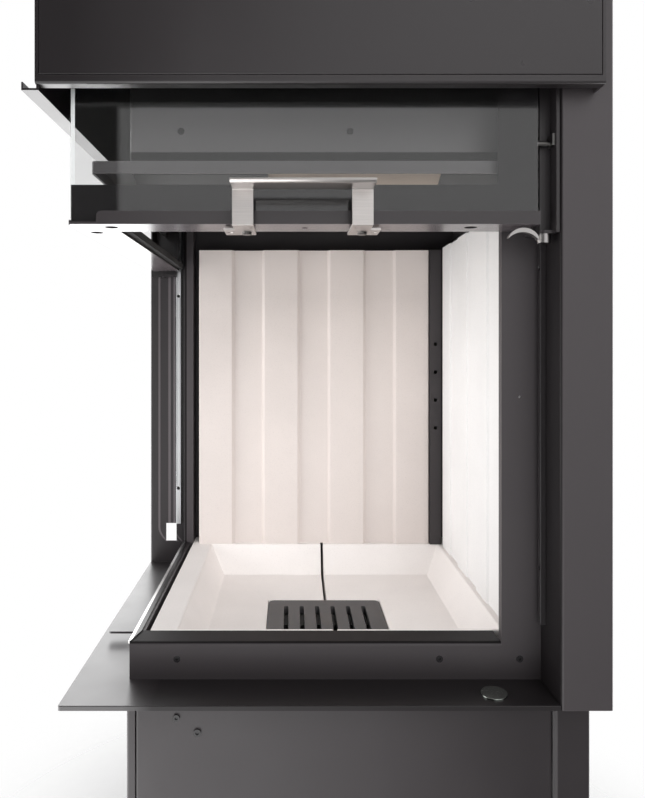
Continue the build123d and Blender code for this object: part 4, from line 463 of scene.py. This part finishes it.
MATERIALS = {
    # Painted shade: the front of the hood darker and matt towards its left.
    "hood": graphite_paint("hood_paint", 0.75, 0.30, shade=hood_left, shaded=0.3),
    # Painted shade: the right post's inner, left-facing side painted darker and matt.
    "post": graphite_paint("post_paint", 1.35, 0.42, shade=left_side),
    # Painted highlights: lighter lines for the beads and edge on the left post.
    "left_post": graphite_paint(
        "left_post_paint", 0.9, 0.42, shade=post_bead_highlights, shaded=4.5
    ),
    # Painted shade: the base darker and matt towards its right.
    "base": graphite_paint("base_paint", 1.3, 0.36, shade=base_right, shaded=0.4),
    # Painted shade: the flange darker and matt towards its right.
    "flange": graphite_paint(
        "flange_paint", 0.9, 0.34, shade=flange_right, shaded=0.4, specular=1.0
    ),
    "firebox": graphite_paint("firebox_paint", 1.2, 0.5),
    # Painted shade: the front frame's top faces and the front of its foot darker and matt.
    "frame": graphite_paint("frame_paint", 1.3, 0.5, shade=frame_shade),
    "jamb": graphite_paint("jamb_paint", 2.0, 0.5, shade=jamb_shadow),
    # Painted shade: the ceiling plates in darker graphite, as they lie in shade.
    "soot": graphite_paint("ceiling_paint_shaded", 0.7, 0.6),
    # Painted light: the header and lintel are lighter than the graphite, as light falls on them
    # behind the door glass.
    "header": stove_paint(
        "header_paint", (0.085, 0.083, 0.085), 0.45, shade=header_painted_shade, shaded=0.1
    ),
    "lintel": stove_paint("lintel_paint", (0.058, 0.055, 0.057), 0.45),
    # Painted reflection: the door frame's undersides painted lighter, as they mirror the white
    # background.
    "door": graphite_paint("door_paint", 0.95, 0.24, shade=under_side, shaded=5.0),
    "carriage": graphite_paint("carriage_paint", 0.6, 0.36),
    "lining": fireclay("lining_fireclay", (0.74, 0.675, 0.645), painted_light=lining_head),
    # Painted light: the same fireclay as the back lining, painted lighter as more light falls on
    # it.
    "side_lining": fireclay("side_lining_fireclay", (0.84, 0.83, 0.825)),
    "hearth": fireclay("hearth_fireclay", (0.92, 0.88, 0.86)),
    "board": fireclay("vermiculite_board", (0.62, 0.50, 0.40)),
    "iron": cast_iron("grate_iron", (0.06, 0.058, 0.06)),
    "handle": bare_steel(
        "handle_steel", (0.76, 0.72, 0.70), 0.34, brushed="X", shade=handle_shade
    ),
    "rail": steel_with_painted_dark_reflection(
        bare_steel("rail_steel", (0.86, 0.87, 0.88), 0.3, brushed="Z"), right_rail
    ),
    "trim": steel_with_painted_dark_reflection(
        bare_steel("trim_steel", (0.86, 0.85, 0.84), 0.3, brushed="Y"), trim_inside
    ),
    "shaft": bare_steel("shaft_steel", (0.5, 0.5, 0.5), 0.3, brushed="X"),
    "sheet": bare_steel("sheet_steel", (0.24, 0.24, 0.235), 0.42, brushed="Y"),
    "fastener": bare_steel("fastener_steel", (0.17, 0.165, 0.16), 0.35, brushed="Y"),
    "lever": bare_steel("lever_steel", (0.55, 0.53, 0.52), 0.3, brushed="X"),
    "badge": bare_steel("badge_metal", (0.50, 0.54, 0.50), 0.2, brushed="X"),
    "screw": plastic("black_oxide", (0.008, 0.007, 0.008), 0.25),
    "wheel": plastic("wheel_plastic", (0.02, 0.02, 0.022)),
    "foot": plastic("foot_plastic", (0.02, 0.02, 0.02), 0.6),
    "cable": wire_rope("cable_steel", (0.5, 0.5, 0.5)),
    "rope": fibre_rope("seal_rope", (0.05, 0.05, 0.05)),
    "glass": pane_glass("ceramic_glass"),
    "print": printed_enamel("printed_enamel"),
    "lit_edge": lit_pane_edge("pane_edge_painted_light"),
}

FINISH = {
    "base": "base_front_cover base_left_side base_right_side base_back",
    "foot": "levelling_feet",
    "sheet": "air_intake_spigot pulley_brackets counterweight_hanger",
    "flange": "hearth_flange air_control_slider",
    "header": "header",
    "frame": "front_frame",
    "jamb": "rear_jamb",
    "lintel": "lintel",
    "soot": "ceiling_plates",
    "firebox": "firebox_floor ash_pan back_wall right_wall sill_side smoke_dome "
               "flue_collar corner_air_profile counterweight",
    "hearth": "hearth_left hearth_right",
    "lining": "lining_back",
    "side_lining": "lining_right",
    "board": "baffle",
    "iron": "grate",
    "trim": "sill_trim",
    "post": "post_right",
    "left_post": "post_left",
    "rail": "guide_rails",
    "shaft": "rear_shaft",
    "carriage": "door_carriages",
    "lever": "lock_lever",
    "hood": "hood_front hood_front_cover hood_left_side hood_top right_side_panel "
            "rear_cover",
    "cable": "cable_top_runs cable_front_runs cable_rear_runs",
    "badge": "badge_plate",
    "screw": "housing_screws",
    "fastener": "door_fasteners",
    "glass": "door_front_glass door_side_glass",
    "door": "door_bottom_frame door_top_frame door_end_stiles",
    "wheel": "door_rollers front_pulley rear_pulleys",
    "handle": "door_handle",
    "rope": "door_seals",
}
SOFT_EDGES = {
    "hearth": 0.0016, "board": 0.001, "handle": 0.0005, "rail": 0.0004, "foot": 0.0008,
    "iron": 0.0006,
}
WELD_REACH = 0.00001
SOFT_EDGE_ANGLE = math.radians(50)

for finish, names in FINISH.items():
    for name in names.split():
        node = NODES[name]
        node.data.materials.clear()
        node.data.materials.append(MATERIALS[finish].material)
        if finish in SOFT_EDGES:
            weld = node.modifiers.new("weld", "WELD")
            weld.merge_threshold = WELD_REACH
            bevel = node.modifiers.new("soft_edges", "BEVEL")
            bevel.width = SOFT_EDGES[finish]
            bevel.segments = 2
            bevel.limit_method = "ANGLE"
            bevel.angle_limit = SOFT_EDGE_ANGLE
            bevel.harden_normals = True

missing = [name for name in NODES if name not in " ".join(FINISH.values()).split()]
assert not missing, missing

# -------------------------------------------------------------- new pieces --
PRINT = 0.00012             # thickness of a printed layer
PRINT_LIFT = 0.00002        # layer off its pane
EDGE_LIFT = 0.00006         # lit edge layer off its pane
EDGE_INSET = 0.0005         # lit edge layer short of the pane's top
BAND_TOP = 0.904            # upper edge of the bottom band
BAND_SIDE = 0.040           # width of the side band
BAND_CORNER = 0.004
CORNER_STEPS = 8
CABLE_DIAMETER = 0.003
CABLE_SIDES = 16


def new_object(name, made, material):
    """Object from a bmesh, which this ends."""
    mesh = bpy.data.meshes.new(name)
    made.to_mesh(mesh)
    made.free()
    mesh.materials.append(material.material)
    piece = bpy.data.objects.new(name, mesh)
    scene.collection.objects.link(piece)
    return piece


def rounded_l(inner_x, outer_x, outer_z, far_x, far_z):
    """Outline of an L-shaped border: a bottom band and a side band, inner corner rounded."""
    side = 1 if outer_x > inner_x else -1
    points = [(far_x, outer_z), (outer_x, outer_z), (outer_x, far_z), (inner_x, far_z)]
    for step in range(CORNER_STEPS + 1):
        angle = math.pi / 2 * step / CORNER_STEPS
        points.append(
            (
                inner_x - side * BAND_CORNER * (1 - math.cos(angle)),
                BAND_TOP + BAND_CORNER * (1 - math.sin(angle)),
            )
        )
    points.append((far_x, BAND_TOP))
    return points


def pane_layer(name, points, place, finish):
    """Thin layer on a pane: an outline in pane coordinates, placed by a function."""
    made = bmesh.new()
    lower = [made.verts.new(place(a, b, 0.0)) for a, b in points]
    upper = [made.verts.new(place(a, b, PRINT)) for a, b in points]
    made.faces.new(lower)
    made.faces.new(list(reversed(upper)))
    count = len(points)
    for i in range(count):
        j = (i + 1) % count
        made.faces.new((lower[i], upper[i], upper[j], lower[j]))
    bmesh.ops.recalc_face_normals(made, faces=made.faces)
    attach(new_object(name, made, MATERIALS[finish]), "door")


front_low, front_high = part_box("door_front_glass")
side_low, side_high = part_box("door_side_glass")
pane_layer(
    "front_glass_border",
    rounded_l(
        front_high.x - BAND_SIDE, front_high.x, front_low.z, front_low.x, front_high.z
    ),
    lambda a, b, t: (a, front_high.y + PRINT_LIFT + t, b),
    "print",
)
pane_layer(
    "side_glass_border",
    rounded_l(side_high.y - BAND_SIDE, side_high.y, side_low.z, side_low.y, side_high.z),
    lambda a, b, t: (side_high.x + PRINT_LIFT + t, a, b),
    "print",
)
# Painted light: the front edge of the side pane, which carries light, is a white layer seen as a
# line through the front pane.
edge_top = side_high.z - EDGE_INSET
pane_layer(
    "side_glass_front_edge",
    [
        (side_low.x, BAND_TOP), (side_high.x, BAND_TOP),
        (side_high.x, edge_top), (side_low.x, edge_top),
    ],
    lambda a, b, t: (a, side_low.y - EDGE_LIFT - t, b),
    "lit_edge",
)


def hanging_cables(name, node):
    """The cable ends from the wheels down to what they carry, drawn as fixed cylinders over the
    height of the cable runs; on the stove they lengthen and shorten as the cable runs over the
    wheels."""
    low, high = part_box(node)
    radius = CABLE_DIAMETER / 2
    length = high.z - low.z
    made = bmesh.new()
    for x, y in ((low.x + radius, high.y - radius), (high.x - radius, low.y + radius)):
        bmesh.ops.create_cone(
            made, cap_ends=True, segments=CABLE_SIDES, radius1=radius, radius2=radius,
            depth=length, matrix=Matrix.Translation((x, y, (low.z + high.z) / 2)),
        )
    piece = new_object(name, made, MATERIALS["cable"])
    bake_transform(piece)
    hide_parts(node)


hanging_cables("front_cable_ends", "cable_front_runs")
hanging_cables("rear_cable_ends", "cable_rear_runs")

# ------------------------------------------------------------ floor, light --
FLOOR_RADIUS = 7.0
FLOOR_SIDES = 96
FLOOR_DROP = 0.0005         # under the feet
FLOOR_FADE = (0.26, 0.70)   # from the middle, where the floor gives way to the background
LAMPS = {
    # name: place, aim, size in metres, power in watts
    "key": ((-3.0, -1.2, 1.0), (0.1, -0.05, 0.65), (1.8, 2.0), 44),
    "side": ((-3.2, 0.0, 0.85), (0.2, 0.0, 0.6), (1.6, 1.6), 32),
    "front": ((0.3, -3.3, 1.2), (0, 0, 0.6), (2.0, 2.0), 38),
    "fill": ((1.2, -3.2, 2.5), (0, 0, 0.6), (2.0, 2.0), 48),
    "back": ((0.4, 3.2, 3.0), (0, 0, 0.9), (2.4, 2.0), 50),
}

ground = Shader("floor_white", 0.9, specular=0.1)
ground.colour((0.92, 0.92, 0.92))
# Towards its rim the floor gives way to the white background, seen or mirrored.
reach = ground.node("ShaderNodeVectorMath", operation="LENGTH")
ground.link(ground.coordinates, reach.inputs[0])
distance = ground.ramp(reach.outputs["Value"], *FLOOR_FADE)
distance.node.interpolation_type = "SMOOTHERSTEP"
seen = ground.node("ShaderNodeLightPath").outputs
looked_at = ground.math("MAXIMUM", seen["Is Camera Ray"], seen["Is Glossy Ray"])
fade = ground.math("MULTIPLY", distance, looked_at)
clear = ground.node("ShaderNodeBsdfTransparent").outputs[0]
ground.link(
    ground.mix_shaders(fade, ground.bsdf.outputs[0], clear), ground.output.inputs[0]
)

disc = bmesh.new()
bmesh.ops.create_circle(disc, cap_ends=True, segments=FLOOR_SIDES, radius=FLOOR_RADIUS)
floor = new_object("floor", disc, ground)
floor.location = (0, 0, -FLOOR_DROP)

for name, (spot, target, size, power) in LAMPS.items():
    light = bpy.data.lights.new(name, "AREA")
    light.shape = "RECTANGLE"
    light.size, light.size_y = size
    light.energy = power
    lamp = bpy.data.objects.new(name, light)
    scene.collection.objects.link(lamp)
    lamp.location = spot
    aim = Vector(target) - Vector(spot)
    lamp.rotation_euler = aim.to_track_quat("-Z", "Y").to_euler()
    lamp.visible_glossy = False

# ------------------------------------------------------------------- world --
# Soft even light. What paint, steel and glass mirror is a studio: a strongly lit white
# background behind the object, and in front a dark wall with one large white card, a
# soft lamp above it and a pale floor that darkens to the right. Places on the front
# are slopes from the object: x or z for each metre towards the front.
ROOM_LIGHT = 0.47
SHOWN_LIGHT = 1.0           # background as the camera sees it
WALL_LIGHT = 0.04
CARD_LEFT = -0.2324
CARD_RIGHT = 0.95
CARD_RIGHT_SOFT = 0.1
CARD_TOP = 0.323
CARD_SOFT = 0.004
CARD_LIGHT = 0.95
LAMP_BOTTOM = 0.354
LAMP_LEFT = (-0.12, 0.08)
LAMP_LIGHT = 1.2
FLOOR_EDGE = (-0.30, -0.42)
FLOOR_DARKENS = (-0.25, 0.18)
FLOOR_LEFT_LIGHT = 3.8
FLOOR_RIGHT_LIGHT = 0.0
BACK_LIGHT = 3.6
BACK_EDGE = (-0.15, 0.15)
NEAREST = 0.001


class World(NodeTree):
    def background(self, strength):
        made = self.node("ShaderNodeBackground")
        made.inputs[0].default_value = (1, 1, 1, 1)
        if isinstance(strength, (int, float)):
            made.inputs[1].default_value = strength
        else:
            self.link(strength, made.inputs[1])
        return made.outputs[0]

    def blend(self, factor, a, b):
        """a where the factor is 0, b where it is 1."""
        rest = self.math("SUBTRACT", 1.0, factor)
        return self.math("ADD", self.math("MULTIPLY", rest, a), self.math("MULTIPLY", factor, b))


scene.world = bpy.data.worlds.new("studio")
scene.world.use_nodes = True
w = World(scene.world.node_tree)
direction = w.node("ShaderNodeSeparateXYZ")
w.link(w.node("ShaderNodeTexCoord").outputs["Generated"], direction.inputs[0])
forward = w.math("MAXIMUM", w.math("MULTIPLY", direction.outputs["Y"], -1.0), NEAREST)
across = w.math("DIVIDE", direction.outputs["X"], forward)
up = w.math("DIVIDE", direction.outputs["Z"], forward)

card = w.math(
    "MULTIPLY",
    w.ramp(across, CARD_LEFT - CARD_SOFT, CARD_LEFT + CARD_SOFT),
    w.ramp(up, CARD_TOP + CARD_SOFT, CARD_TOP - CARD_SOFT),
)
card = w.math("MULTIPLY", card, w.ramp(across, CARD_RIGHT + CARD_RIGHT_SOFT, CARD_RIGHT))
lamp_above = w.math(
    "MULTIPLY",
    w.ramp(up, LAMP_BOTTOM - CARD_SOFT, LAMP_BOTTOM + CARD_SOFT),
    w.ramp(across, *LAMP_LEFT),
)
lit = w.math(
    "ADD",
    w.math("MULTIPLY", card, CARD_LIGHT - WALL_LIGHT),
    w.math("MULTIPLY", lamp_above, LAMP_LIGHT - WALL_LIGHT),
)
mirrored = w.math("ADD", WALL_LIGHT, lit)
pale_floor = w.ramp(across, *FLOOR_DARKENS, FLOOR_LEFT_LIGHT, FLOOR_RIGHT_LIGHT)
mirrored = w.blend(w.ramp(up, *FLOOR_EDGE), mirrored, pale_floor)
mirrored = w.blend(w.ramp(direction.outputs["Y"], *BACK_EDGE), mirrored, BACK_LIGHT)

rays = w.node("ShaderNodeLightPath").outputs
shown = w.math("MAXIMUM", rays["Is Camera Ray"], rays["Is Transmission Ray"])
surface = w.mix_shaders(
    rays["Is Glossy Ray"], w.background(ROOM_LIGHT), w.background(mirrored)
)
surface = w.mix_shaders(shown, surface, w.background(SHOWN_LIGHT))
w.link(surface, w.node("ShaderNodeOutputWorld").inputs[0])

scene.view_settings.view_transform = "Standard"
